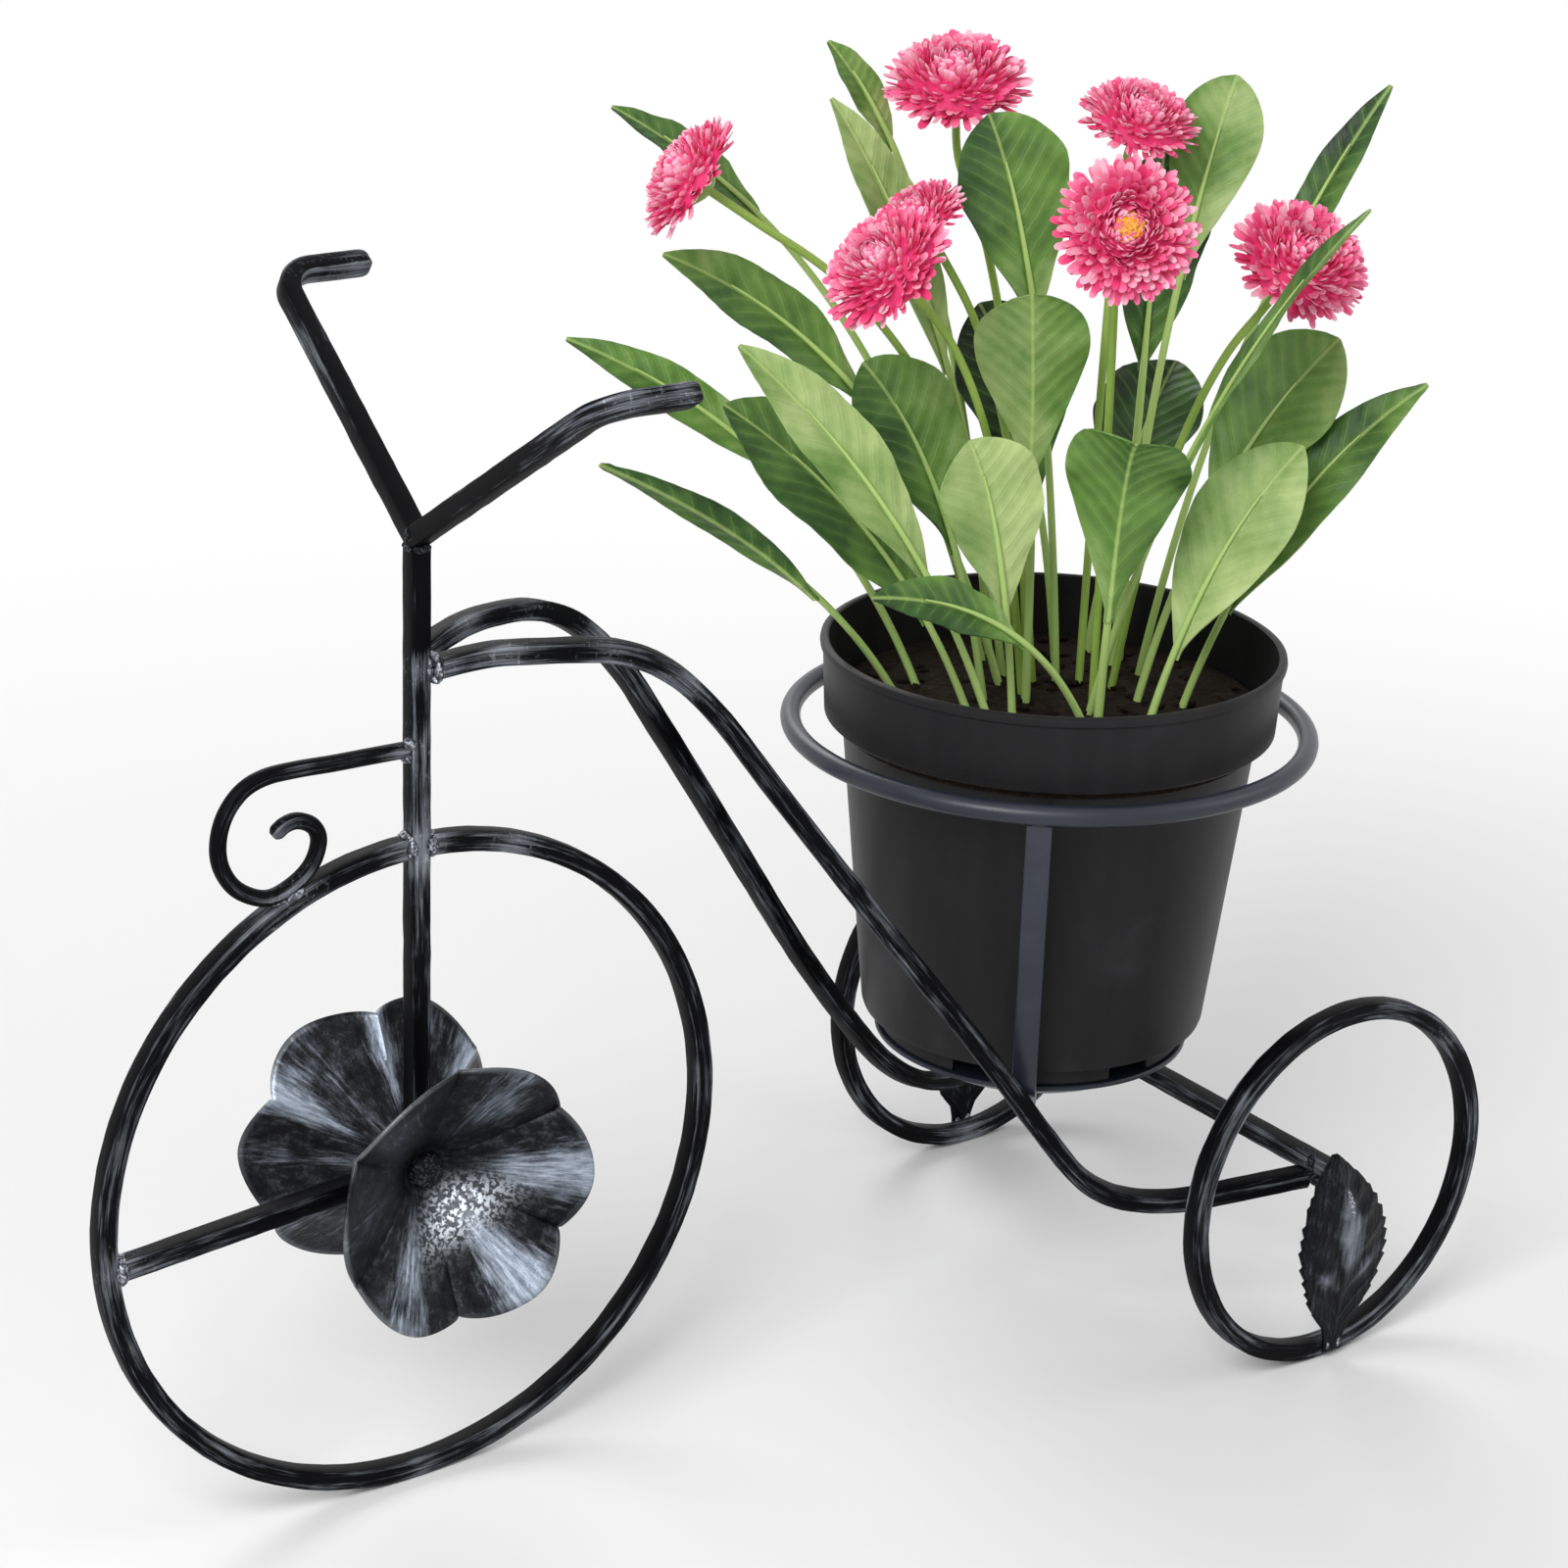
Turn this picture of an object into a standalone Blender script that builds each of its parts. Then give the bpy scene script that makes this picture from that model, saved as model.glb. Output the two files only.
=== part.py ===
"""Bicycle planter: a welded stand of square steel bar with one large front wheel and two small rear wheels.

It carries a ring holder behind the stem, and a nursery pot of daisies that lifts out of the ring.
+Z is up, +X runs from the front wheel to the rear wheels, and -Y is the side of the rear leaf that shows first.
The origin is on the ground, below the middle of the overall length.
"""

import math

import bmesh
import bpy
from mathutils import Matrix, Vector

# Stock and clearances
bar = 0.0075
bar_chamfer = 0.0007
scroll_rod = 0.0056
ring_rod = 0.0075
sheet = 0.0012
seat_gap = 0.0003
notch_overrun = 0.005
merge_distance = 1e-7

# Wheels
front_radius = 0.120
rear_radius = 0.072
wheelbase = 0.330
rear_track = 0.215
axle_rise = 0.003

# Stem, handlebar and head
stem_height = 0.338
stem_tail = 0.010
head_height = 0.2990
grip_spread = 0.197
grip_height = 0.4065
grip_sweep = 0.005
grip_length = 0.034
grip_bend = 0.012
spoke_drop = math.radians(4.5)

# Fender scroll
scroll_reach = 0.0703
scroll_drop = 0.0425
scroll_lean = 0.0034

# Hub flowers and buttons
flower_radius = 0.047
flower_depth = 0.027
flower_floor = 0.008
flower_ruffle = 0.0045
flower_scallop = 0.055
flower_crease = 0.75
flower_lobes = 6
button_radius = 0.0065
button_height = 0.0035

# Rear leaves
leaf_length = 0.086
leaf_width = 0.045
leaf_arch = 0.0035
leaf_curl = 0.0025
leaf_overlap = 0.0045

# Holder
holder_offset = 0.269
ring_radius = 0.0953
ring_height = 0.230
dish_radius = 0.0590
dish_depth = 0.0200
dish_flange = 0.0125
dish_sheet = 0.0015
strap_width = 0.009
strap_sheet = 0.0032
strap_foot_height = 0.1120
stay_width = 0.009
stay_sheet = 0.0030

# Pot and soil
pot_seat_height = 0.110
pot_height = 0.152
pot_rim_radius = 0.0855
pot_rim_lip = 0.0012
collar_height = 0.029
collar_radius = 0.0830
body_top_radius = 0.0765
body_low_radius = 0.0645
pot_wall = 0.0016
foot_height = 0.0075
foot_outer = 0.0575
foot_inner = 0.0470
foot_notch = 0.018
foot_count = 6
soil_depth = 0.022
soil_crown = 0.003

# Plant
plant_half_width = 0.180
plant_height = 0.240
plant_turn = math.radians(-36.5)
root_circle_radius = 0.058
petiole = 0.0032
blade_sheet = 0.0011
blade_fold = 0.20
blade_taper = 1.3
blade_point = 1.30
stalk_upright = 0.6
knee_reach = 0.30
knee_rise = 0.45
knee_upright = 0.50
flower_stalk = 0.0030
bloom_radius = 0.0265
bloom_height = 0.021

# Facets
front_rim_facets = 47
rear_rim_facets = 36
ring_facets = 36
pot_facets = 36
flower_facets = 36
bloom_facets = 16
leaf_steps = 10

# Places that follow from the sizes above
half_bar = bar / 2
half_track = rear_track / 2
front_x = (front_radius - rear_radius - wheelbase) / 2
rear_x = front_x + wheelbase
holder_x = front_x + holder_offset
hub_height = front_radius
axle_height = rear_radius + axle_rise
holder_axis = Vector((holder_x, 0, 0))
pot_top = pot_seat_height + pot_height
soil_top = pot_top - soil_depth
stem_face = half_bar + seat_gap
rail_standoff = half_bar + strap_sheet / 2 + 3 * seat_gap
leaf_axle_share = (axle_height + bar - leaf_overlap) / leaf_length

# Rail stations, as shares of the wheelbase, of half the rear track and of the head height
rail_shares = (
    (0.000, 0.045, 0.998),
    (0.055, 0.115, 1.012),
    (0.110, 0.185, 1.014),
    (0.180, 0.235, 1.006),
    (0.240, 0.262, 0.975),
    (0.300, 0.282, 0.910),
    (0.360, 0.318, 0.820),
    (0.480, 0.420, 0.638),
    (0.600, 0.535, 0.458),
    (0.690, 0.562, 0.325),
    (0.750, 0.558, 0.248),
    (0.810, 0.560, 0.205),
    (0.880, 0.610, 0.188),
    (0.940, 0.730, 0.205),
    (1.010, 0.950, 0.245),
)

# Scroll stations, as shares of its reach in front of the stem, its drop and its lean to the near side
scroll_shares = (
    (0.000, 0.962, 0.00),
    (0.200, 0.975, 0.25),
    (0.400, 0.990, 0.60),
    (0.600, 1.010, 0.90),
    (0.763, 1.000, 1.00),
    (0.880, 0.920, 1.00),
    (0.965, 0.750, 1.00),
    (1.000, 0.532, 1.00),
    (0.980, 0.326, 1.00),
    (0.900, 0.140, 1.00),
    (0.760, 0.030, 1.00),
    (0.630, 0.090, 1.00),
    (0.530, 0.220, 1.00),
    (0.488, 0.400, 1.00),
    (0.515, 0.530, 1.00),
    (0.590, 0.600, 1.00),
    (0.660, 0.590, 1.00),
    (0.722, 0.520, 1.00),
)

# Rear leaf outline, as shares of its length from the petiole's foot, its half width and its sideways drift
leaf_shares = (
    (0.00, 0.20, 0.03),
    (0.06, 0.21, 0.03),
    (0.12, 0.28, 0.04),
    (0.17, 0.46, 0.05),
    (0.24, 0.68, 0.06),
    (0.32, 0.84, 0.07),
    (0.40, 0.94, 0.07),
    (0.48, 1.00, 0.06),
    (0.56, 0.99, 0.04),
    (0.64, 0.92, 0.01),
    (0.72, 0.80, -0.03),
    (0.80, 0.64, -0.08),
    (0.87, 0.46, -0.13),
    (0.94, 0.25, -0.18),
    (1.00, 0.05, -0.22),
)
leaf_tooth_share = 0.07

# Cradle strap stations on the near side, from the ring to the underside of the dish,
# as shares of the way out to the ring and of the way up to it
strap_shares = ((0.985, 1.00), (0.93, 0.81), (0.875, 0.60), (0.825, 0.405), (0.795, 0.258), (0.775, 0.192))
strap_under_shares = (0.60, 0.42, 0.22)

# Plant leaves: root side and depth as shares of the root circle, tip side, depth and height as shares of
# the spread and height, then the share of the length that is blade, the half width as a share of the
# spread, the twist in turns, how upright the petiole leaves the soil, and where the blade is widest
plant_leaf_shares = (
    ("leaf_left_high", -0.86, 0.12, -1.00, 0.03, 0.53, 0.50, 0.052, -0.14, 0.57, 0.50),
    ("leaf_left_low", -0.99, -0.11, -0.91, -0.35, 0.42, 0.62, 0.036, 0.15, 0.28, 0.50),
    ("leaf_left_broad", -0.53, -0.59, -0.68, -0.13, 0.47, 0.74, 0.128, -0.09, 0.42, 0.58),
    ("leaf_left_long", -0.40, -0.85, -0.65, -0.30, 0.59, 0.66, 0.078, -0.14, 0.31, 0.54),
    ("leaf_left_curled", -0.44, -0.11, -0.41, 0.03, 0.51, 0.66, 0.112, -0.14, 0.55, 0.64),
    ("leaf_front_pale", -0.28, -0.69, -0.20, -0.19, 0.44, 0.72, 0.112, -0.13, 0.63, 0.62),
    ("leaf_front_small", 0.19, -0.78, -0.38, -0.46, 0.26, 0.60, 0.054, -0.14, 0.94, 0.54),
    ("leaf_centre_round", -0.17, -0.12, -0.09, -0.07, 0.64, 0.54, 0.114, 0.14, 0.47, 0.68),
    ("leaf_centre_low", 0.26, -0.62, 0.11, -0.33, 0.475, 0.76, 0.122, -0.05, 0.89, 0.66),
    ("leaf_right_broad", 0.59, -0.51, 0.46, -0.09, 0.43, 0.80, 0.102, 0.14, 0.39, 0.60),
    ("leaf_right_long", 0.84, -0.11, 0.71, 0.02, 0.51, 0.76, 0.074, 0.13, 0.46, 0.46),
    ("leaf_right_upright", 0.56, -0.02, 0.54, 0.10, 0.56, 0.58, 0.118, 0.12, 0.46, 0.62),
    ("leaf_right_diagonal", 0.24, -0.30, 0.50, -0.38, 0.83, 0.60, 0.044, 0.10, 0.34, 0.52),
    ("leaf_right_high", 0.61, 0.50, 0.62, 0.26, 0.92, 0.42, 0.044, 0.12, 0.36, 0.50),
    ("leaf_top_round", 0.44, 0.62, 0.33, 0.39, 0.91, 0.42, 0.090, 0.10, 0.47, 0.66),
    ("leaf_top_broad", 0.04, 0.29, -0.18, 0.15, 0.87, 0.50, 0.122, -0.14, 0.60, 0.64),
    ("leaf_top_long", -0.30, 0.34, -0.49, 0.19, 0.88, 0.54, 0.066, -0.11, 0.45, 0.50),
    ("leaf_top_small", -0.37, 0.81, -0.50, 0.31, 0.95, 0.28, 0.044, -0.10, 0.65, 0.50),
    ("leaf_back_left", -0.33, 0.18, -0.81, -0.01, 0.67, 0.50, 0.072, -0.13, 0.68, 0.54),
    ("leaf_behind_daisy", -0.42, 0.66, -0.92, 0.09, 0.87, 0.32, 0.050, -0.10, 0.59, 0.50),
    ("leaf_back_right", 0.30, 0.93, 0.26, 0.52, 0.44, 0.60, 0.120, 0.02, 0.50, 0.60),
    ("leaf_back_centre", 0.06, 0.75, -0.17, 0.35, 0.55, 0.64, 0.122, -0.11, 0.55, 0.60),
    ("leaf_back_tall", 0.49, 0.80, 0.20, 0.46, 0.78, 0.52, 0.112, 0.10, 0.49, 0.60),
)

# A leaf's section, as shares of its half width and half thickness
leaf_section_shares = ((1, -0.4), (1, 0.4), (0.5, 1), (0, 1), (-0.5, 1), (-1, 0.4), (-1, -0.4), (0, -1))

# Daisies: root side and depth, then the bloom's side, depth and height, its size, and how far its face
# leans to the side and to the front, as shares of a right angle
daisy_shares = (
    ("daisy_left", -0.15, 0.70, -0.73, -0.12, 0.785, 0.92, -0.62, 0.12),
    ("daisy_top", -0.12, 0.62, -0.24, 0.30, 0.87, 1.06, -0.05, 0.28),
    ("daisy_middle", -0.18, 0.00, -0.36, -0.30, 0.695, 0.96, -0.45, 0.34),
    ("daisy_behind", -0.10, 0.25, -0.30, 0.06, 0.71, 0.72, -0.35, 0.20),
    ("daisy_centre", 0.25, -0.22, 0.055, -0.38, 0.785, 0.96, 0.06, 0.80),
    ("daisy_right", 0.40, 0.20, 0.41, -0.09, 0.69, 0.99, 0.24, 0.46),
    ("daisy_back", 0.20, 0.30, 0.12, 0.28, 0.83, 0.88, 0.12, 0.26),
)


def clear_scene():
    for item in list(bpy.data.objects):
        bpy.data.objects.remove(item, do_unlink=True)


def material(name, colour, roughness, metallic):
    made = bpy.data.materials.new(name)
    made.use_nodes = True
    shader = made.node_tree.nodes["Principled BSDF"]
    shader.inputs["Base Color"].default_value = (*colour, 1.0)
    shader.inputs["Roughness"].default_value = roughness
    shader.inputs["Metallic"].default_value = metallic
    return made


def node(name, bm, finish, parent=None):
    """One named object from a mesh that stands in its own place."""
    bmesh.ops.recalc_face_normals(bm, faces=bm.faces)
    mesh = bpy.data.meshes.new(name)
    bm.to_mesh(mesh)
    bm.free()
    mesh.materials.append(finish)
    mesh.shade_smooth()
    mesh.set_sharp_from_angle(angle=math.radians(35))
    made = bpy.data.objects.new(name, mesh)
    bpy.context.scene.collection.objects.link(made)
    if parent:
        made.parent = parent
        made.matrix_parent_inverse = Matrix.Translation(-parent.location)
    return made


def solidify(made, thickness, offset=0.0):
    """Gives an open sheet its metal or leaf thickness, centred unless an offset is given."""
    wall = made.modifiers.new("thickness", "SOLIDIFY")
    wall.thickness = thickness
    wall.offset = offset
    wall.use_even_offset = True
    return made


def square_section(width, chamfer):
    """Corners of a square bar's section with its edges broken, anticlockwise."""
    half = width / 2
    flat = half - chamfer
    corners = ((half, flat), (flat, half), (-flat, half), (-half, flat))
    return [Vector(c) for c in corners] + [Vector((-x, -y)) for x, y in corners]


def round_section(radius, sides):
    turn = 2 * math.pi / sides
    return [radius * Vector((math.cos(turn * (i + 0.5)), math.sin(turn * (i + 0.5)))) for i in range(sides)]


def flat_section(width, thickness):
    return [Vector((x * width / 2, y * thickness / 2)) for x, y in ((1, -1), (1, 1), (-1, 1), (-1, -1))]


def smooth_route(points, steps):
    """A Catmull-Rom curve through the points, with the given steps in each span."""
    padded = [2 * points[0] - points[1], *points, 2 * points[-1] - points[-2]]
    route = []
    for a, b, c, d in zip(padded, padded[1:], padded[2:], padded[3:]):
        for i in range(steps):
            t = i / steps
            route.append(
                b + 0.5 * t * ((c - a) + t * ((2 * a - 5 * b + 4 * c - d) + t * (3 * (b - c) + d - a)))
            )
    return [*route, points[-1]]


def bent_route(start, corner, end, radius, steps):
    """Two straight runs joined by a bend of the given radius."""
    into = (start - corner).normalized()
    out = (end - corner).normalized()
    angle = into.angle(out)
    leg = radius / math.tan(angle / 2)
    centre = corner + (into + out).normalized() * (radius / math.sin(angle / 2))
    first = corner + into * leg - centre
    last = corner + out * leg - centre
    axis = first.cross(last).normalized()
    turn = first.angle(last)
    bend = [centre + Matrix.Rotation(turn * i / steps, 3, axis) @ first for i in range(steps + 1)]
    return [start, *bend, end]


def frames_along(route, across, ends=None):
    """A frame at each point of the route, carried along without twist from the given side direction.
    Both end faces look along the route, or along the direction given for them."""
    tangents = []
    for i, point in enumerate(route):
        before = route[max(i - 1, 0)]
        after = route[min(i + 1, len(route) - 1)]
        tangents.append(((after - point).normalized() + (point - before).normalized()).normalized())
    if ends:
        tangents[0] = tangents[-1] = ends
    side = (across - across.dot(tangents[0]) * tangents[0]).normalized()
    frames = []
    for point, tangent in zip(route, tangents):
        side = (side - side.dot(tangent) * tangent).normalized()
        up = tangent.cross(side)
        frames.append(Matrix.Translation(point) @ Matrix((side, up, tangent)).transposed().to_4x4())
    return frames


def sweep(frames, section, scales=None):
    """A closed bar: the section is drawn at the first frame and extruded from frame to frame."""
    scales = scales or [(1.0, 1.0)] * len(frames)
    placed = [frame @ Matrix.Diagonal((*scale, 1.0, 1.0)) for frame, scale in zip(frames, scales)]
    bm = bmesh.new()
    cap = bm.faces.new([bm.verts.new(placed[0] @ corner.to_3d()) for corner in section])
    first = cap
    for here, there in zip(placed, placed[1:]):
        grown = bmesh.ops.extrude_face_region(bm, geom=[cap])["geom"]
        if cap is not first:
            bmesh.ops.delete(bm, geom=[cap], context="FACES_ONLY")
        cap = next(item for item in grown if isinstance(item, bmesh.types.BMFace))
        bmesh.ops.transform(bm, matrix=there @ here.inverted(), verts=list(cap.verts))
    return bm


def trim(bm, point, outwards):
    """Cuts off what lies beyond a plane, and closes the cut."""
    geometry = [*bm.verts, *bm.edges, *bm.faces]
    cut = bmesh.ops.bisect_plane(
        bm, geom=geometry, dist=merge_distance, plane_co=point, plane_no=outwards, clear_outer=True
    )
    edges = [item for item in cut["geom_cut"] if isinstance(item, bmesh.types.BMEdge)]
    bmesh.ops.contextual_create(bm, geom=edges)
    return bm


def full_ring(radius, centre, axis, across, section, facets):
    """A ring of bar, spun once round. A facet, not a corner, lies at the start direction turned by half a step."""
    bm = bmesh.new()
    along = axis.cross(across).normalized()
    start = centre + radius * across
    corners = [bm.verts.new(start + c.x * across + c.y * axis) for c in section]
    edges = [bm.edges.new((a, b)) for a, b in zip(corners, [*corners[1:], corners[0]])]
    bmesh.ops.rotate(
        bm, cent=centre, matrix=Matrix.Rotation(math.pi / facets, 3, along.cross(across)), verts=corners
    )
    bmesh.ops.spin(
        bm,
        geom=[*corners, *edges],
        cent=centre,
        axis=axis,
        angle=2 * math.pi,
        steps=facets,
        use_merge=True,
        use_duplicate=False,
    )
    return bm


def turned(profile, centre, facets):
    """A closed body turned round a vertical axis from an outline that ends on it or closes on itself."""
    bm = bmesh.new()
    points = [bm.verts.new(centre + Vector((radius, 0, height))) for radius, height in profile]
    loop = profile[0][0] > 0
    edges = [bm.edges.new(pair) for pair in zip(points, points[1:])]
    if loop:
        edges.append(bm.edges.new((points[-1], points[0])))
    bmesh.ops.spin(
        bm,
        geom=[*points, *edges],
        cent=centre,
        axis=(0, 0, 1),
        angle=2 * math.pi,
        steps=facets,
        use_merge=True,
        use_duplicate=False,
    )
    bmesh.ops.remove_doubles(bm, verts=bm.verts, dist=merge_distance)
    return bm


def cut(made, cutter):
    """Takes the cutter's shape out of a piece."""
    cutter.hide_render = True
    cutter.display_type = "WIRE"
    hole = made.modifiers.new("cut", "BOOLEAN")
    hole.operation = "DIFFERENCE"
    hole.object = cutter
    return made


# Stem, handlebar and spoke


def build_stem(finish):
    low = Vector((front_x, 0, hub_height - stem_tail))
    high = Vector((front_x, 0, stem_height))
    frames = frames_along([low, high], Vector((1, 0, 0)))
    node("stem_bar", sweep(frames, square_section(bar, bar_chamfer)), finish)


def build_handlebar(name, side, finish):
    """One arm of the handlebar, mitred against its twin on the centre plane and seated on the stem."""
    foot = Vector((front_x, 0, stem_height + half_bar))
    corner = Vector((front_x + grip_sweep, side * grip_spread / 2, grip_height))
    tip = corner + Vector((grip_length, 0, 0))
    inner = foot - (corner - foot).normalized() * bar
    route = bent_route(inner, corner, tip, grip_bend, 8)
    bm = sweep(frames_along(route, Vector((1, 0, 0))), square_section(bar, bar_chamfer))
    trim(bm, Vector((front_x, side * seat_gap / 2, 0)), Vector((0, -side, 0)))
    trim(bm, Vector((front_x, 0, stem_height + seat_gap)), Vector((0, 0, -1)))
    node(name, bm, finish)


def build_spoke(finish):
    """The bar from the stem to the front of the front rim."""
    direction = Vector((-math.cos(spoke_drop), 0, -math.sin(spoke_drop)))
    centre = Vector((front_x, 0, hub_height))
    reach = (rim_corner(front_radius, front_rim_facets) - bar) * math.cos(math.pi / front_rim_facets) - seat_gap
    frames = frames_along([centre, centre + direction * reach], Vector((0, 1, 0)))
    bm = sweep(frames, square_section(bar, bar_chamfer))
    trim(bm, centre - Vector((stem_face, 0, 0)), Vector((1, 0, 0)))
    node("front_spoke", bm, finish)


# Wheels


def rim_corner(radius, facets):
    """Distance from a wheel's centre to the outer corners of its rim, whose facets touch the radius."""
    return radius / math.cos(math.pi / facets)


def build_front_rim(finish):
    """The rim is one bar rolled round, with its two ends butted on the sides of the stem."""
    centre = Vector((front_x, 0, hub_height))
    across = rim_corner(front_radius, front_rim_facets) - half_bar
    turn = 2 * math.pi / front_rim_facets
    corners = [-math.pi / 2 + turn * (i + 0.5) for i in range(-front_rim_facets // 2 + 1, front_rim_facets // 2)]
    half_cut = math.asin(stem_face / across)
    angles = [half_cut - 1.5 * math.pi, *corners, math.pi / 2 - half_cut]
    route = [centre + across * Vector((math.cos(a), 0, math.sin(a))) for a in angles]
    frames = frames_along(route, Vector((0, 1, 0)), Vector((-1, 0, 0)))
    node("front_rim", sweep(frames, square_section(bar, bar_chamfer)), finish)


def build_rear_rim(name, side, finish):
    centre = Vector((rear_x, side * half_track, rear_radius))
    across = rim_corner(rear_radius, rear_rim_facets) - half_bar
    section = square_section(bar, bar_chamfer)
    bm = full_ring(across, centre, Vector((0, 1, 0)), Vector((0, 0, -1)), section, rear_rim_facets)
    node(name, bm, finish)


def build_axle(finish):
    """The axle reaches through both rear wheels to the backs of their leaves."""
    end = half_track + half_bar + leaf_lift(leaf_axle_share)
    frames = frames_along(
        [Vector((rear_x, -end, axle_height)), Vector((rear_x, end, axle_height))], Vector((1, 0, 0))
    )
    node("rear_axle", sweep(frames, square_section(bar, bar_chamfer)), finish)


# Front hub: two fluted sheet cups back to back, each with a domed rivet


def flower_shape(radius_share, angle):
    """Distance from the hub's axis and depth of a fluted cup at a share of its radius."""
    ridge = abs(math.cos(flower_lobes * angle / 2))
    lobe = 2 * ridge**flower_crease - 1
    flare = radius_share**1.5
    radius = flower_floor + (flower_radius - flower_floor) * radius_share
    radius *= 1 + flower_scallop * flare * (ridge - 0.5)
    depth = flower_depth * radius_share**0.85 + flower_ruffle * flare * lobe
    return radius, depth


def build_hub_flower(name, side, finish):
    bm = bmesh.new()
    rings = 5
    floor = stem_face + sheet / 2
    bmesh.ops.create_circle(bm, cap_ends=True, cap_tris=True, segments=flower_facets, radius=flower_floor)
    edges = [edge for edge in bm.edges if edge.is_boundary]
    for ring in range(1, rings + 1):
        grown = bmesh.ops.extrude_edge_only(bm, edges=edges)["geom"]
        edges = [item for item in grown if isinstance(item, bmesh.types.BMEdge) and item.is_boundary]
        for vert in {vert for edge in edges for vert in edge.verts}:
            angle = math.atan2(vert.co.y, vert.co.x)
            radius, depth = flower_shape(ring / rings, angle)
            vert.co = Vector((radius * math.cos(angle), radius * math.sin(angle), depth))
    place = Matrix.Translation((front_x, side * floor, hub_height)) @ Matrix.Rotation(
        -side * math.pi / 2, 4, "X"
    )
    bmesh.ops.transform(bm, matrix=place, verts=bm.verts)
    solidify(node(name, bm, finish), sheet)


def build_hub_button(name, side, finish):
    """A domed rivet head on the floor of the cup."""
    rise = 5
    profile = [(0.0, 0.0), (button_radius, 0.0)]
    for i in range(1, rise):
        angle = math.pi / 2 * i / rise
        profile.append((button_radius * math.cos(angle), button_height * math.sin(angle)))
    profile.append((0.0, button_height))
    bm = turned(profile, Vector(), 14)
    floor = stem_face + sheet + seat_gap
    place = Matrix.Translation((front_x, side * floor, hub_height)) @ Matrix.Rotation(
        -side * math.pi / 2, 4, "X"
    )
    bmesh.ops.transform(bm, matrix=place, verts=bm.verts)
    node(name, bm, finish)


# Fender scroll


def build_scroll(finish):
    """A round rod from the stem, which curls on the top of the front rim and back on itself."""
    clearance = scroll_rod / 2 + seat_gap
    beyond = max(0.0, scroll_lean - half_bar)
    seat = front_radius + math.sqrt(clearance**2 - beyond**2)
    points = [
        Vector((front_x - stem_face - out * scroll_reach, -lean * scroll_lean, up * scroll_drop))
        for out, up, lean in scroll_shares
    ]
    route = smooth_route(points, 2)
    foot = hub_height + max(math.sqrt(seat**2 - (point.x - front_x) ** 2) - point.z for point in route)
    route = [point + Vector((0, 0, foot)) for point in route]
    bm = sweep(frames_along(route, Vector((0, 1, 0))), round_section(scroll_rod / 2, 8))
    trim(bm, Vector((front_x - stem_face, 0, 0)), Vector((1, 0, 0)))
    node("fender_scroll", bm, finish)


# Frame rails


def rail_route(side):
    points = [
        Vector((front_x + along * wheelbase, side * out * half_track, up * head_height))
        for along, out, up in rail_shares
    ]
    return smooth_route(points, 2)


def rail_at_height(side, height):
    """The place where the rail comes down through a height, on its straight run."""
    route = rail_route(side)
    for above, below in zip(route, route[1:]):
        if above.z >= height > below.z:
            return above.lerp(below, (above.z - height) / (above.z - below.z))
    return route[-1]


def build_rail(name, side, finish):
    bm = sweep(frames_along(rail_route(side), Vector((0, 1, 0))), square_section(bar, bar_chamfer))
    trim(bm, Vector((front_x + stem_face, 0, 0)), Vector((-1, 0, 0)))
    trim(bm, Vector((rear_x - half_bar - seat_gap, 0, 0)), Vector((1, 0, 0)))
    node(name, bm, finish)


# Rear leaves


def leaf_lift(along):
    """How far the leaf's midrib stands off the face of the rim: it is flat on the rim and arches above it."""
    rise = min(max((along - 0.12) / 0.5, 0), 1)
    return seat_gap + leaf_arch * rise * rise * (3 - 2 * rise)


def build_rear_leaf(name, side, finish):
    """A forged leaf, welded by its petiole on the rim and by its back on the end of the axle."""
    bm = bmesh.new()
    columns = 6
    foot = leaf_overlap - bar
    outer = half_track + half_bar + sheet
    rows = []
    for index, (along, half, drift) in enumerate(leaf_shares):
        tooth = 1 + leaf_tooth_share * (1 if index % 2 else -1) * min(1, max(0, (along - 0.15) * 8))
        row = []
        for column in range(columns + 1):
            across = 2 * column / columns - 1
            width = leaf_width / 2 * half * (tooth if abs(across) == 1 else 1)
            x = rear_x + drift * leaf_width + across * width
            lift = leaf_lift(along) - leaf_curl * (across * half) ** 2
            row.append(bm.verts.new((x, side * (outer + max(lift, seat_gap)), -foot + along * leaf_length)))
        rows.append(row)
    for low, high in zip(rows, rows[1:]):
        for a, b, c, d in zip(low, low[1:], high[1:], high):
            bm.faces.new((a, b, c, d))
    solidify(node(name, bm, finish), sheet)


# Holder


def strap_azimuth():
    """Direction from the pot's axis to the near rail, where the strap's foot is welded to it."""
    weld = rail_at_height(-1, strap_foot_height) - holder_axis
    return math.atan2(weld.y, weld.x)


def build_ring(finish):
    centre = holder_axis + Vector((0, 0, ring_height))
    section = round_section(ring_rod / 2, 8)
    bm = full_ring(ring_radius, centre, Vector((0, 0, 1)), Vector((1, 0, 0)), section, ring_facets)
    node("holder_ring", bm, finish)


def dish_under(radius):
    """Height of the underside of the dish at a distance from its axis."""
    sphere = (dish_radius**2 + dish_depth**2) / (2 * dish_depth)
    bottom = pot_seat_height - seat_gap - dish_depth
    return bottom + sphere - math.sqrt(sphere**2 - radius**2)


def build_dish(finish):
    """A shallow spun dish with a flat flange, on which the feet of the pot stand."""
    rim = pot_seat_height - seat_gap
    steps = 5
    inner = dish_radius - dish_flange
    under = [(dish_radius * i / steps, dish_under(dish_radius * i / steps)) for i in range(steps)]
    over = [(inner * i / steps, dish_under(inner * i / steps) + dish_sheet) for i in range(steps)]
    profile = [*under, (dish_radius, rim - dish_sheet), (dish_radius, rim), (inner, rim), *reversed(over)]
    node("holder_dish", turned(profile, holder_axis.copy(), ring_facets), finish)


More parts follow.
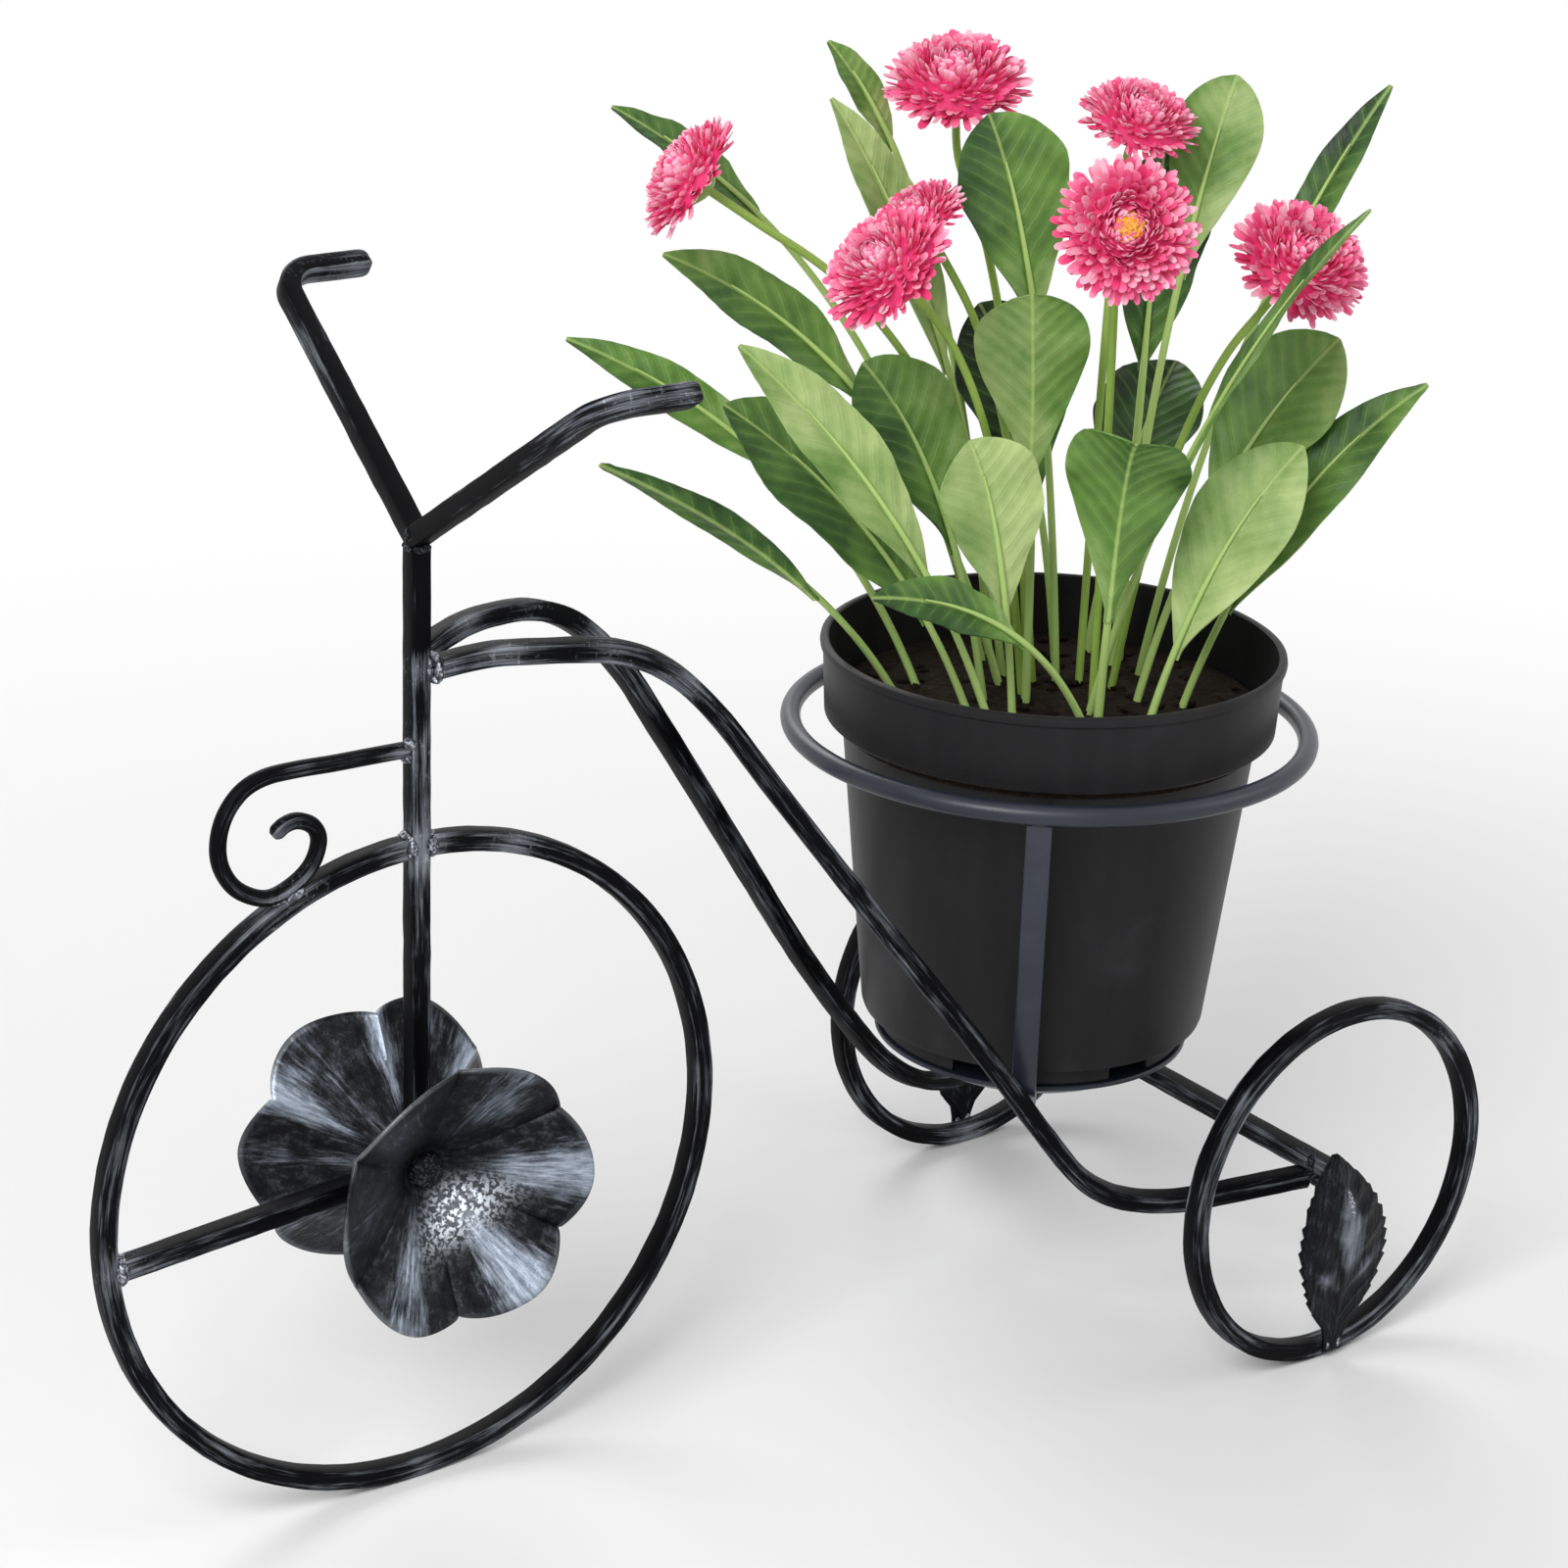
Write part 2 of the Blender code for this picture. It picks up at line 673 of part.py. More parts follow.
def build_cradle(finish):
    """One flat strap bent into a U: down from the ring, against the rail, under the dish and up again."""
    angle = strap_azimuth()
    out = Vector((math.cos(angle), math.sin(angle), 0))
    low = dish_under(0) - seat_gap - strap_sheet / 2
    high = ring_height - ring_rod / 2 - seat_gap
    foot_share, foot_up = strap_shares[-1]
    rail = (rail_at_height(-1, strap_foot_height) - holder_axis).to_2d().length
    tuck = (rail - rail_standoff) / (ring_radius * foot_share) - 1
    near = [
        holder_axis
        + out * ring_radius * share * (1 + tuck * (1 - up) / (1 - foot_up))
        + Vector((0, 0, low + (high - low) * up))
        for share, up in strap_shares
    ]
    under = [
        holder_axis + out * reach + Vector((0, 0, dish_under(reach) - strap_sheet))
        for reach in [ring_radius * share * (1 + tuck) for share in strap_under_shares]
    ]
    half = [*near, *under]
    turn = Matrix.Translation(holder_axis) @ Matrix.Rotation(math.pi, 4, "Z") @ Matrix.Translation(-holder_axis)
    points = [*half, holder_axis + Vector((0, 0, low)), *[turn @ point for point in reversed(half)]]
    route = smooth_route(points, 2)
    across = Vector((-out.y, out.x, 0))
    node("holder_cradle", sweep(frames_along(route, across), flat_section(strap_width, strap_sheet)), finish)


def build_stay(finish):
    """A flat stay from under the cradle down to the far rail, where the rail is lowest."""
    trough = min(rail_route(1), key=lambda point: point.z)
    section = square_section(bar, bar_chamfer)
    beside = [
        (frame @ corner.to_3d()).z
        for frame in frames_along(rail_route(1), Vector((0, 1, 0)))
        if (frame.translation - trough).length < 2 * stay_width
        for corner in section
    ]
    low = dish_under(0) - 2 * seat_gap - strap_sheet - stay_sheet / 2
    start = holder_axis + Vector((0, 0, low))
    level = max(beside) + seat_gap + stay_sheet / 2
    top = Vector((trough.x, trough.y, level))
    run = Vector((top.x - start.x, top.y - start.y, 0)).normalized()
    knee = start + run * strap_width
    lip = top - run * bar
    route = [start - run * strap_width / 2, start, knee, lip, top + run * half_bar]
    across = run.cross(Vector((0, 0, 1)))
    node("holder_stay", sweep(frames_along(route, across), flat_section(stay_width, stay_sheet)), finish)


# Pot and soil


def build_pot(finish, parent):
    """A nursery pot: deep collar, tapered body, and feet with notches between them below its floor."""
    floor = foot_height
    shoulder = pot_height - collar_height
    rim_in = pot_rim_radius - 2 * pot_wall
    profile = [
        (0.0, floor),
        (foot_inner, floor),
        (foot_inner, 0.0),
        (foot_outer, 0.0),
        (foot_outer, floor),
        (body_low_radius - pot_wall, floor),
        (body_low_radius, floor + pot_wall),
        (body_top_radius, shoulder - pot_wall),
        (collar_radius, shoulder),
        (pot_rim_radius - pot_rim_lip, pot_height - 2 * pot_wall),
        (pot_rim_radius, pot_height - 1.5 * pot_wall),
        (pot_rim_radius, pot_height),
        (rim_in, pot_height),
        (collar_radius - pot_wall, shoulder + pot_wall),
        (body_top_radius - pot_wall, shoulder - pot_wall / 2),
        (body_low_radius - pot_wall, floor + 2 * pot_wall),
        (body_low_radius - 2 * pot_wall, floor + pot_wall),
        (0.0, floor + pot_wall),
    ]
    centre = holder_axis + Vector((0, 0, pot_seat_height))
    pot = node("pot", turned(profile, centre, pot_facets), finish, parent)
    bm = bmesh.new()
    for i in range(foot_count):
        turn = Matrix.Rotation(2 * math.pi * (i + 0.5) / foot_count, 4, "Z")
        middle = (foot_inner + foot_outer) / 2
        size = Matrix.Diagonal((foot_outer - foot_inner + notch_overrun, foot_notch, 2 * floor, 1.0))
        bmesh.ops.create_cube(
            bm, size=1.0, matrix=Matrix.Translation(centre) @ turn @ Matrix.Translation((middle, 0, 0)) @ size
        )
    cut(pot, node("notch_cutter", bm, finish))


def pot_inside(height):
    """Inner radius of the pot's wall at a height above its seat."""
    shoulder = pot_height - collar_height
    if height > shoulder + pot_wall:
        share = (height - shoulder - pot_wall) / (collar_height - pot_wall)
        return collar_radius - pot_wall + share * (pot_rim_radius - pot_wall - collar_radius)
    low = foot_height + 2 * pot_wall
    share = (height - low) / (shoulder - pot_wall / 2 - low)
    return body_low_radius - pot_wall + share * (body_top_radius - body_low_radius)


def build_soil(finish, parent):
    low = foot_height + pot_wall + seat_gap
    high = pot_height - soil_depth
    shoulder = pot_height - collar_height
    profile = [
        (0.0, low),
        (body_low_radius - 2 * pot_wall - seat_gap, low),
        (pot_inside(low + 2 * pot_wall) - seat_gap, low + 2 * pot_wall),
        (pot_inside(shoulder - pot_wall) - seat_gap, shoulder - pot_wall),
        (pot_inside(shoulder - pot_wall) - seat_gap, high - soil_crown),
        (root_circle_radius, high),
        (0.0, high),
    ]
    bm = turned(profile, holder_axis + Vector((0, 0, pot_seat_height)), pot_facets)
    node("soil", bm, finish, parent)


# Plant


def plant_place(side, depth, height):
    """A place in the plant's own frame: to the side, away from the front and above the soil."""
    turn = Matrix.Rotation(plant_turn, 4, "Z")
    return holder_axis + Vector((0, 0, soil_top + seat_gap)) + turn @ Vector((side, depth, height))


def arc_route(root, tip, upright, steps):
    """A stalk's route: it leaves the soil as upright as told and bends over to its tip."""
    reach = tip - root
    rise = knee_rise + knee_upright * upright
    knee = root + Vector((reach.x * knee_reach, reach.y * knee_reach, reach.z * rise))
    route = []
    for i in range(steps + 1):
        t = i / steps
        route.append((1 - t) ** 2 * root + 2 * t * (1 - t) * knee + t * t * tip)
    return route


def blade_width(share, widest):
    """Half width share along a blade. One that is widest near its tip tapers to its base and has a rounded tip."""
    if not 0 < share < 1:
        return 0.0
    spread = share ** (math.log(0.5) / math.log(widest))
    return math.sin(math.pi * spread) ** (blade_point - widest)


def build_plant_leaf(row, finish, parent):
    name, root_side, root_depth, side, depth, height, blade, width, twist, upright, widest = row
    root = plant_place(root_side * root_circle_radius, root_depth * root_circle_radius, 0)
    tip = plant_place(side * plant_half_width, depth * plant_half_width, height * plant_height)
    steps = leaf_steps
    route = arc_route(root, tip, upright, steps)
    level = (tip - root).cross(Vector((0, 0, 1)))
    frames = frames_along(route, level)
    half = petiole / 2
    scales = []
    turned_frames = []
    for i, frame in enumerate(frames):
        share = (i / steps - (1 - blade)) / blade
        spread = max(half, width * plant_half_width * blade_width(share, widest))
        thickness = half if share <= 0 else max(blade_sheet / 2, half * (1 - blade_taper * share))
        if i == steps:
            spread = half * 0.6
        scales.append((spread, thickness))
        ease = min(max(share + 0.3, 0) / 0.6, 1)
        turned_frames.append(frame @ Matrix.Rotation(2 * math.pi * twist * ease, 4, "Z"))
    section = [Vector(corner) for corner in leaf_section_shares]
    bm = fold_blade(turned_frames, section, scales)
    trim(bm, Vector((0, 0, soil_top + seat_gap)), Vector((0, 0, -1)))
    node(name, bm, finish, parent)


def fold_blade(frames, section, scales):
    """The leaf's section swept along its midrib, with its two halves raised from the midrib into a shallow V."""
    bm = sweep(frames, section, scales)
    ordered = list(bm.verts)
    count = len(section)
    for index, (frame, scale) in enumerate(zip(frames, scales)):
        lift = -frame.to_3x3().col[1] * blade_fold * max(0.0, scale[0] - petiole / 2)
        for corner, vert in zip(section, ordered[index * count : (index + 1) * count]):
            vert.co += lift * abs(corner.x)
    return bm


def bloom_frame(row):
    name, root_side, root_depth, side, depth, height, size, lean_side, lean_front = row
    place = plant_place(side * plant_half_width, depth * plant_half_width, height * plant_height)
    turn = Matrix.Rotation(plant_turn, 4, "Z")
    tilt = Matrix.Rotation(lean_side * math.pi / 2, 4, "Y") @ Matrix.Rotation(lean_front * math.pi / 2, 4, "X")
    return Matrix.Translation(place) @ turn @ tilt


def build_daisy(row, petal_finish, stalk_finish, parent):
    """A pompom bloom on a stalk that ends under it."""
    name, root_side, root_depth, side, depth, height, size, lean_side, lean_front = row
    frame = bloom_frame(row)
    radius = bloom_radius * size
    rise = bloom_height * size
    profile = [
        (0.0, 0.0),
        (radius * 0.22, 0.02 * rise),
        (radius * 0.60, 0.16 * rise),
        (radius * 0.95, 0.36 * rise),
        (radius, 0.55 * rise),
        (radius * 0.88, 0.80 * rise),
        (radius * 0.60, 0.97 * rise),
        (radius * 0.25, 1.00 * rise),
        (0.0, 0.95 * rise),
    ]
    bm = turned(profile, Vector(), bloom_facets)
    for vert in bm.verts:
        angle = math.atan2(vert.co.y, vert.co.x)
        ripple = 1 + 0.05 * math.cos(bloom_facets / 2 * angle)
        vert.co.x *= ripple
        vert.co.y *= ripple
    bmesh.ops.transform(bm, matrix=frame, verts=bm.verts)
    node(name, bm, petal_finish, parent)
    root = plant_place(root_side * root_circle_radius, root_depth * root_circle_radius, 0)
    face = frame.to_3x3().col[2]
    end = frame.translation - face * seat_gap
    low = end - face * radius * 0.9
    route = smooth_route([*arc_route(root, low, stalk_upright, 5), end], 2)
    frames = frames_along(route, face.cross(Vector((0, 0, 1))))
    bm = sweep(frames, round_section(flower_stalk / 2, 6))
    trim(bm, Vector((0, 0, soil_top + seat_gap)), Vector((0, 0, -1)))
    trim(bm, end, face)
    node(name + "_stalk", bm, stalk_finish, parent)


def main():
    clear_scene()
    forged = material("forged_black_silver", (0.045, 0.048, 0.052), 0.42, 0.75)
    holder = material("holder_slate", (0.075, 0.095, 0.135), 0.45, 0.0)
    plastic = material("pot_black", (0.022, 0.020, 0.022), 0.50, 0.0)
    earth = material("soil_dark", (0.030, 0.022, 0.016), 0.95, 0.0)
    green = material("leaf_green", (0.110, 0.260, 0.050), 0.50, 0.0)
    stalk = material("stalk_green", (0.300, 0.430, 0.110), 0.55, 0.0)
    pink = material("petal_pink", (0.780, 0.080, 0.260), 0.60, 0.0)

    build_stem(forged)
    build_spoke(forged)
    build_front_rim(forged)
    build_scroll(forged)
    build_axle(forged)
    for label, side in (("near", -1), ("far", 1)):
        build_handlebar(f"handlebar_{label}", side, forged)
        build_hub_flower(f"hub_flower_{label}", side, forged)
        build_hub_button(f"hub_button_{label}", side, forged)
        build_rail(f"frame_rail_{label}", side, forged)
        build_rear_rim(f"rear_rim_{label}", side, forged)
        build_rear_leaf(f"rear_leaf_{label}", side, forged)
    build_ring(holder)
    build_dish(holder)
    build_cradle(holder)
    build_stay(holder)

    lift = bpy.data.objects.new("pot_lift", None)
    lift.location = holder_axis
    bpy.context.scene.collection.objects.link(lift)
    build_pot(plastic, lift)
    build_soil(earth, lift)
    for row in plant_leaf_shares:
        build_plant_leaf(row, green, lift)
    for row in daisy_shares:
        build_daisy(row, pink, stalk, lift)


main()
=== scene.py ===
"""Looks of the bicycle planter: forged tricycle stand, ring holder, nursery pot and pink daisies.

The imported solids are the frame. Each bar, cup, leaf and petal here stands where its solid stands.
Sizes are in metres: +Z is up, +X runs from the front wheel to the rear wheels, and -Y is the near side.
"""

import math
import random

import bmesh
import bpy
from mathutils import Matrix, Vector, noise


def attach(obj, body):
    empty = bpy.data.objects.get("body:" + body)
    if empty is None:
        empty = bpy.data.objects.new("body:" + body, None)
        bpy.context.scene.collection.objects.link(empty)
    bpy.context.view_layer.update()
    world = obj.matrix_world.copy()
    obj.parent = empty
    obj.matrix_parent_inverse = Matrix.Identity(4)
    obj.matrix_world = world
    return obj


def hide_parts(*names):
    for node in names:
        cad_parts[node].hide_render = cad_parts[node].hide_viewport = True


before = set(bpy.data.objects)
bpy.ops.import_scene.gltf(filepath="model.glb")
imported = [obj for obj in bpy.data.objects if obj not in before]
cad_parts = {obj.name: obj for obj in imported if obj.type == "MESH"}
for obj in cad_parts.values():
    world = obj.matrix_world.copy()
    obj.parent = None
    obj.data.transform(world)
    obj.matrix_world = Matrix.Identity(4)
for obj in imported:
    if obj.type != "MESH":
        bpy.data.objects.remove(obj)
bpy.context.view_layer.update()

# Sizes of the stand, as in the part
bar = 0.0075
bar_corner = 0.0011
scroll_rod = 0.0056
ring_rod = 0.0075
sheet = 0.0012
front_radius = 0.120
rear_radius = 0.072
wheelbase = 0.330
rear_track = 0.215
axle_rise = 0.003
stem_height = 0.338
stem_tail = 0.010
head_height = 0.2990
grip_spread = 0.197
grip_height = 0.4065
grip_sweep = 0.005
grip_length = 0.034
grip_bend = 0.012
spoke_drop = math.radians(4.5)
scroll_reach = 0.0703
scroll_drop = 0.0425
scroll_lean = 0.0034
flower_radius = 0.047
flower_depth = 0.027
flower_floor = 0.008
flower_ruffle = 0.0045
flower_scallop = 0.055
flower_crease = 0.75
flower_lobes = 6
button_radius = 0.0065
button_height = 0.0035
leaf_length = 0.086
leaf_width = 0.045
leaf_arch = 0.0035
leaf_curl = 0.0025
leaf_overlap = 0.0045
holder_offset = 0.269
ring_radius = 0.0953
ring_height = 0.230
dish_radius = 0.0590
dish_depth = 0.0200
dish_flange = 0.0125
dish_sheet = 0.0015
strap_width = 0.009
strap_sheet = 0.0032
strap_foot_height = 0.1120
seat_gap = 0.0003

# Sizes of the pot and the plant, as in the part
pot_seat_height = 0.110
pot_height = 0.152
pot_rim_radius = 0.0855
collar_height = 0.029
collar_radius = 0.0830
body_top_radius = 0.0765
body_low_radius = 0.0645
pot_wall = 0.0016
foot_height = 0.0075
foot_outer = 0.0575
foot_inner = 0.0470
foot_notch = 0.018
foot_count = 6
soil_depth = 0.022
plant_half_width = 0.180
plant_height = 0.240
plant_turn = math.radians(-36.5)
root_circle_radius = 0.058
petiole = 0.0032
blade_fold = 0.20
blade_point = 1.30
knee_reach = 0.30
knee_rise = 0.45
knee_upright = 0.50
stalk_upright = 0.6
flower_stalk = 0.0030
bloom_radius = 0.0265
bloom_height = 0.021

# Hand work on the iron: the rounding of the strap, the depth of a bar's dents, how far silver spreads from a
# weld, where else the front rim is worn, as angles up from its rear, and the lengths over which silver fades
# to black above the stem's head, and down the foot of each arm, measured up from the stem
strap_corner = 0.0008
bar_dents = 0.0002
shine_reach = 0.016
rim_wear = (1.25, 1.95)
stem_fade = 0.010
arm_fade = (0.034, 0.012)
# A grip's rounded nose, as bar widths back from its tip and sizes, the sizes of the scroll's last sections,
# and the share of the scroll's reach at which it rests on the rim
grip_nose = ((0.60, 1.0), (0.34, 0.97), (0.15, 0.88), (0.04, 0.74), (0.0, 0.58))
scroll_nose = (0.96, 0.8, 0.55)
scroll_touch = 0.76
# The stippled painted highlight patch of the near cup, the hammered relief of the iron leaves, and their
# ragged top
glint_place = (0.0095, -0.0142)
glint_length = 0.0150
glint_width = 0.0058
glint_turn = math.radians(-26)
leaf_relief = 0.0014
leaf_crown = 0.0030

# Growth of the plant: its blades' side veins, in radians over a blade's length and in radians for each
# metre off its rib, their thickness, a bloom's rings of petals and how pale it is between them, the soil's
# gap inside the pot's wall, and the lumps that lie loose on it and round each root
veins_along = 70.0
veins_aside = 900.0
blade_thickness = 0.0007
petal_rings = 13
dome_tone = 0.40
soil_margin = 0.0062
loose_lumps = 150
root_lumps = 3
open_daisies = ("daisy_centre",)

# Facets of the smooth pieces, and draws that differ from piece to piece
bar_step = 0.004
bend_steps = 14
rim_steps = 176
rear_rim_steps = 120
turned_steps = 120
button_steps = 8
bloom_steps = 32
cup_steps = 24
strap_steps = 6
stalk_steps = 5
scroll_sides = 16
ring_sides = 20
stalk_sides = 10
petiole_sides = 8
route_steps = 7
leaf_columns = 12
leaf_steps = 64
merge_distance = 1e-7
soil_draw = 7
leaf_draw = 40
daisy_draw = 90

# Directions, turns and places that follow from the sizes above
near_far = (("near", -1), ("far", 1))
rearwards, farwards, upwards = Vector((1, 0, 0)), Vector((0, 1, 0)), Vector((0, 0, 1))
full_turn = 2 * math.pi
right_angle = math.pi / 2
half_bar = bar / 2
half_track = rear_track / 2
front_x = (front_radius - rear_radius - wheelbase) / 2
rear_x = front_x + wheelbase
hub_height = front_radius
hub_centre = Vector((front_x, 0, hub_height))
rim_reach = front_radius - half_bar
axle_height = rear_radius + axle_rise
holder_axis = Vector((front_x + holder_offset, 0, 0))
soil_top = pot_seat_height + pot_height - soil_depth
stem_face = half_bar + seat_gap
rail_standoff = half_bar + strap_sheet / 2 + 3 * seat_gap
leaf_axle_share = (axle_height + bar - leaf_overlap) / leaf_length

# Rail stations, as shares of the wheelbase, of half the rear track and of the head height
rail_shares = (
    (0.000, 0.045, 0.998), (0.055, 0.115, 1.012), (0.110, 0.185, 1.014), (0.180, 0.235, 1.006),
    (0.240, 0.262, 0.975), (0.300, 0.282, 0.910), (0.360, 0.318, 0.820), (0.480, 0.420, 0.638),
    (0.600, 0.535, 0.458), (0.690, 0.562, 0.325), (0.750, 0.558, 0.248), (0.810, 0.560, 0.205),
    (0.880, 0.610, 0.188), (0.940, 0.730, 0.205), (1.010, 0.950, 0.245),
)

# Scroll stations, as shares of its reach in front of the stem, its drop and its lean to the near side
scroll_shares = (
    (0.000, 0.962, 0.00), (0.200, 0.975, 0.25), (0.400, 0.990, 0.60), (0.600, 1.010, 0.90),
    (0.763, 1.000, 1.00), (0.880, 0.920, 1.00), (0.965, 0.750, 1.00), (1.000, 0.532, 1.00),
    (0.980, 0.326, 1.00), (0.900, 0.140, 1.00), (0.760, 0.030, 1.00), (0.630, 0.090, 1.00),
    (0.530, 0.220, 1.00), (0.488, 0.400, 1.00), (0.515, 0.530, 1.00), (0.590, 0.600, 1.00),
    (0.660, 0.590, 1.00), (0.722, 0.520, 1.00),
)

# Rear leaf outline, as shares of its length from the petiole's foot, its half width and its sideways drift
leaf_shares = (
    (0.00, 0.20, 0.03), (0.06, 0.21, 0.03), (0.12, 0.28, 0.04), (0.17, 0.46, 0.05), (0.24, 0.68, 0.06),
    (0.32, 0.84, 0.07), (0.40, 0.94, 0.07), (0.48, 1.00, 0.06), (0.56, 0.99, 0.04), (0.64, 0.92, 0.01),
    (0.72, 0.80, -0.03), (0.80, 0.64, -0.08), (0.87, 0.46, -0.13), (0.94, 0.25, -0.18), (1.00, 0.05, -0.22),
)

# Cradle strap stations on the near side, from the ring to the underside of the dish,
# as shares of the way out to the ring and of the way up to it
strap_shares = ((0.985, 1.00), (0.93, 0.81), (0.875, 0.60), (0.825, 0.405), (0.795, 0.258), (0.775, 0.192))
strap_under_shares = (0.60, 0.42, 0.22)

# Plant leaves: root side and depth as shares of the root circle, tip side, depth and height as shares of
# the spread and height, then the share of the length that is blade, the half width as a share of the
# spread, the twist in turns, how upright the petiole leaves the soil, where the blade is widest, and
# how light it is, from 0 to 1. That tone is partly the leaf's own green and partly painted shade: the
# leaves deep in the plant and at its back are given dark tones in place of shade
plant_leaves = (
    ("leaf_left_high", -0.86, 0.12, -1.00, 0.03, 0.53, 0.50, 0.052, -0.14, 0.57, 0.50, 0.50),
    ("leaf_left_low", -0.99, -0.11, -0.91, -0.35, 0.42, 0.62, 0.036, 0.15, 0.28, 0.50, 0.30),
    ("leaf_left_broad", -0.53, -0.59, -0.68, -0.13, 0.47, 0.74, 0.128, -0.09, 0.42, 0.58, 0.42),
    ("leaf_left_long", -0.40, -0.85, -0.65, -0.30, 0.59, 0.66, 0.078, -0.14, 0.31, 0.54, 0.74),
    ("leaf_left_curled", -0.44, -0.11, -0.41, 0.03, 0.51, 0.66, 0.112, -0.14, 0.55, 0.64, 0.42),
    ("leaf_front_pale", -0.28, -0.69, -0.20, -0.19, 0.44, 0.72, 0.112, -0.13, 0.63, 0.62, 0.92),
    ("leaf_front_small", 0.19, -0.78, -0.38, -0.46, 0.26, 0.60, 0.054, -0.14, 0.94, 0.54, 0.40),
    ("leaf_centre_round", -0.17, -0.12, -0.09, -0.07, 0.64, 0.54, 0.114, 0.14, 0.47, 0.68, 0.62),
    ("leaf_centre_low", 0.26, -0.62, 0.11, -0.33, 0.475, 0.76, 0.122, -0.05, 0.89, 0.66, 0.40),
    ("leaf_right_broad", 0.59, -0.51, 0.46, -0.09, 0.43, 0.80, 0.102, 0.14, 0.39, 0.60, 0.78),
    ("leaf_right_long", 0.84, -0.11, 0.71, 0.02, 0.51, 0.76, 0.074, 0.13, 0.46, 0.46, 0.42),
    ("leaf_right_upright", 0.56, -0.02, 0.54, 0.10, 0.56, 0.58, 0.118, 0.12, 0.46, 0.62, 0.60),
    ("leaf_right_diagonal", 0.24, -0.30, 0.50, -0.38, 0.83, 0.60, 0.044, 0.10, 0.34, 0.52, 0.42),
    ("leaf_right_high", 0.61, 0.50, 0.62, 0.26, 0.92, 0.42, 0.044, 0.12, 0.36, 0.50, 0.30),
    ("leaf_top_round", 0.44, 0.62, 0.33, 0.39, 0.91, 0.42, 0.090, 0.10, 0.47, 0.66, 0.66),
    ("leaf_top_broad", 0.04, 0.29, -0.18, 0.15, 0.87, 0.50, 0.122, -0.14, 0.60, 0.64, 0.48),
    ("leaf_top_long", -0.30, 0.34, -0.49, 0.19, 0.88, 0.54, 0.066, -0.11, 0.45, 0.50, 0.72),
    ("leaf_top_small", -0.37, 0.81, -0.50, 0.31, 0.95, 0.28, 0.044, -0.10, 0.65, 0.50, 0.55),
    ("leaf_back_left", -0.33, 0.18, -0.81, -0.01, 0.67, 0.50, 0.072, -0.13, 0.68, 0.54, 0.44),
    ("leaf_behind_daisy", -0.42, 0.66, -0.92, 0.09, 0.87, 0.32, 0.050, -0.10, 0.59, 0.50, 0.34),
    ("leaf_back_right", 0.30, 0.93, 0.26, 0.52, 0.44, 0.60, 0.120, 0.02, 0.50, 0.60, 0.16),
    ("leaf_back_centre", 0.06, 0.75, -0.17, 0.35, 0.55, 0.64, 0.122, -0.11, 0.55, 0.60, 0.14),
    ("leaf_back_tall", 0.49, 0.80, 0.20, 0.46, 0.78, 0.52, 0.112, 0.10, 0.49, 0.60, 0.20),
)

# Daisies: root side and depth, then the bloom's side, depth and height, its size, and how far its face
# leans to the side and to the front, as shares of a right angle
daisies = (
    ("daisy_left", -0.15, 0.70, -0.73, -0.12, 0.785, 0.92, -0.62, 0.12),
    ("daisy_top", -0.12, 0.62, -0.24, 0.30, 0.87, 1.06, -0.05, 0.28),
    ("daisy_middle", -0.18, 0.00, -0.36, -0.30, 0.695, 0.96, -0.45, 0.34),
    ("daisy_behind", -0.10, 0.25, -0.30, 0.06, 0.71, 0.72, -0.35, 0.20),
    ("daisy_centre", 0.25, -0.22, 0.055, -0.38, 0.785, 0.96, 0.06, 0.80),
    ("daisy_right", 0.40, 0.20, 0.41, -0.09, 0.69, 0.99, 0.24, 0.46),
    ("daisy_back", 0.20, 0.30, 0.12, 0.28, 0.83, 0.88, 0.12, 0.26),
)


# Shader nodes


class Value:
    """A shader socket. Each operator adds one Math node."""

    def __init__(self, nodes, socket):
        self.nodes = nodes
        self.socket = socket

    def maths(self, operation, *terms):
        return self.nodes.value("ShaderNodeMath", dict(enumerate(terms)), operation=operation)

    def __add__(self, other):
        return self.maths("ADD", self, other)

    def __sub__(self, other):
        return self.maths("SUBTRACT", self, other)

    def __rsub__(self, other):
        return self.maths("SUBTRACT", other, self)

    def __mul__(self, other):
        return self.maths("MULTIPLY", self, other)

    def __pow__(self, other):
        return self.maths("POWER", self, other)

    __radd__ = __add__
    __rmul__ = __mul__

    def sine(self):
        return self.maths("SINE", self)

    def size(self):
        return self.maths("ABSOLUTE", self)


class Nodes:
    """The nodes of a material or of the world."""

    def __init__(self, owner):
        owner.use_nodes = True
        self.tree = owner.node_tree

    def node(self, kind, inputs, **settings):
        """One node: its settings come first, then the values or links of its sockets."""
        made = self.tree.nodes.new(kind)
        for key, value in settings.items():
            if key == "stops":
                elements = made.color_ramp.elements
                while len(elements) < len(value):
                    elements.new(1.0)
                for stop, (place, colour) in zip(elements, value):
                    stop.position = place
                    stop.color = (*colour, 1.0)
            else:
                setattr(made, key, value)
        for key, value in inputs.items():
            self.feed(made.inputs[key], value)
        return made

    def feed(self, socket, value):
        if isinstance(value, Value):
            self.tree.links.new(value.socket, socket)
        elif isinstance(value, bpy.types.NodeSocket):
            self.tree.links.new(value, socket)
        elif isinstance(value, tuple) and socket.type == "RGBA":
            socket.default_value = (*value, 1.0)
        else:
            socket.default_value = value

    def value(self, kind, inputs, output=0, **settings):
        return Value(self, self.node(kind, inputs, **settings).outputs[output])

    def rise(self, value, low, high, bottom=0.0, top=1.0):
        inputs = {"Value": value, "From Min": low, "From Max": high, "To Min": bottom, "To Max": top}
        return self.value("ShaderNodeMapRange", inputs, interpolation_type="SMOOTHSTEP")

    def plainly_seen(self):
        """1 where the camera, or a mirror image in something glossy, looks straight at it."""
        path = self.node("ShaderNodeLightPath", {})
        return Value(self, path.outputs["Is Camera Ray"]) + Value(self, path.outputs["Is Glossy Ray"])


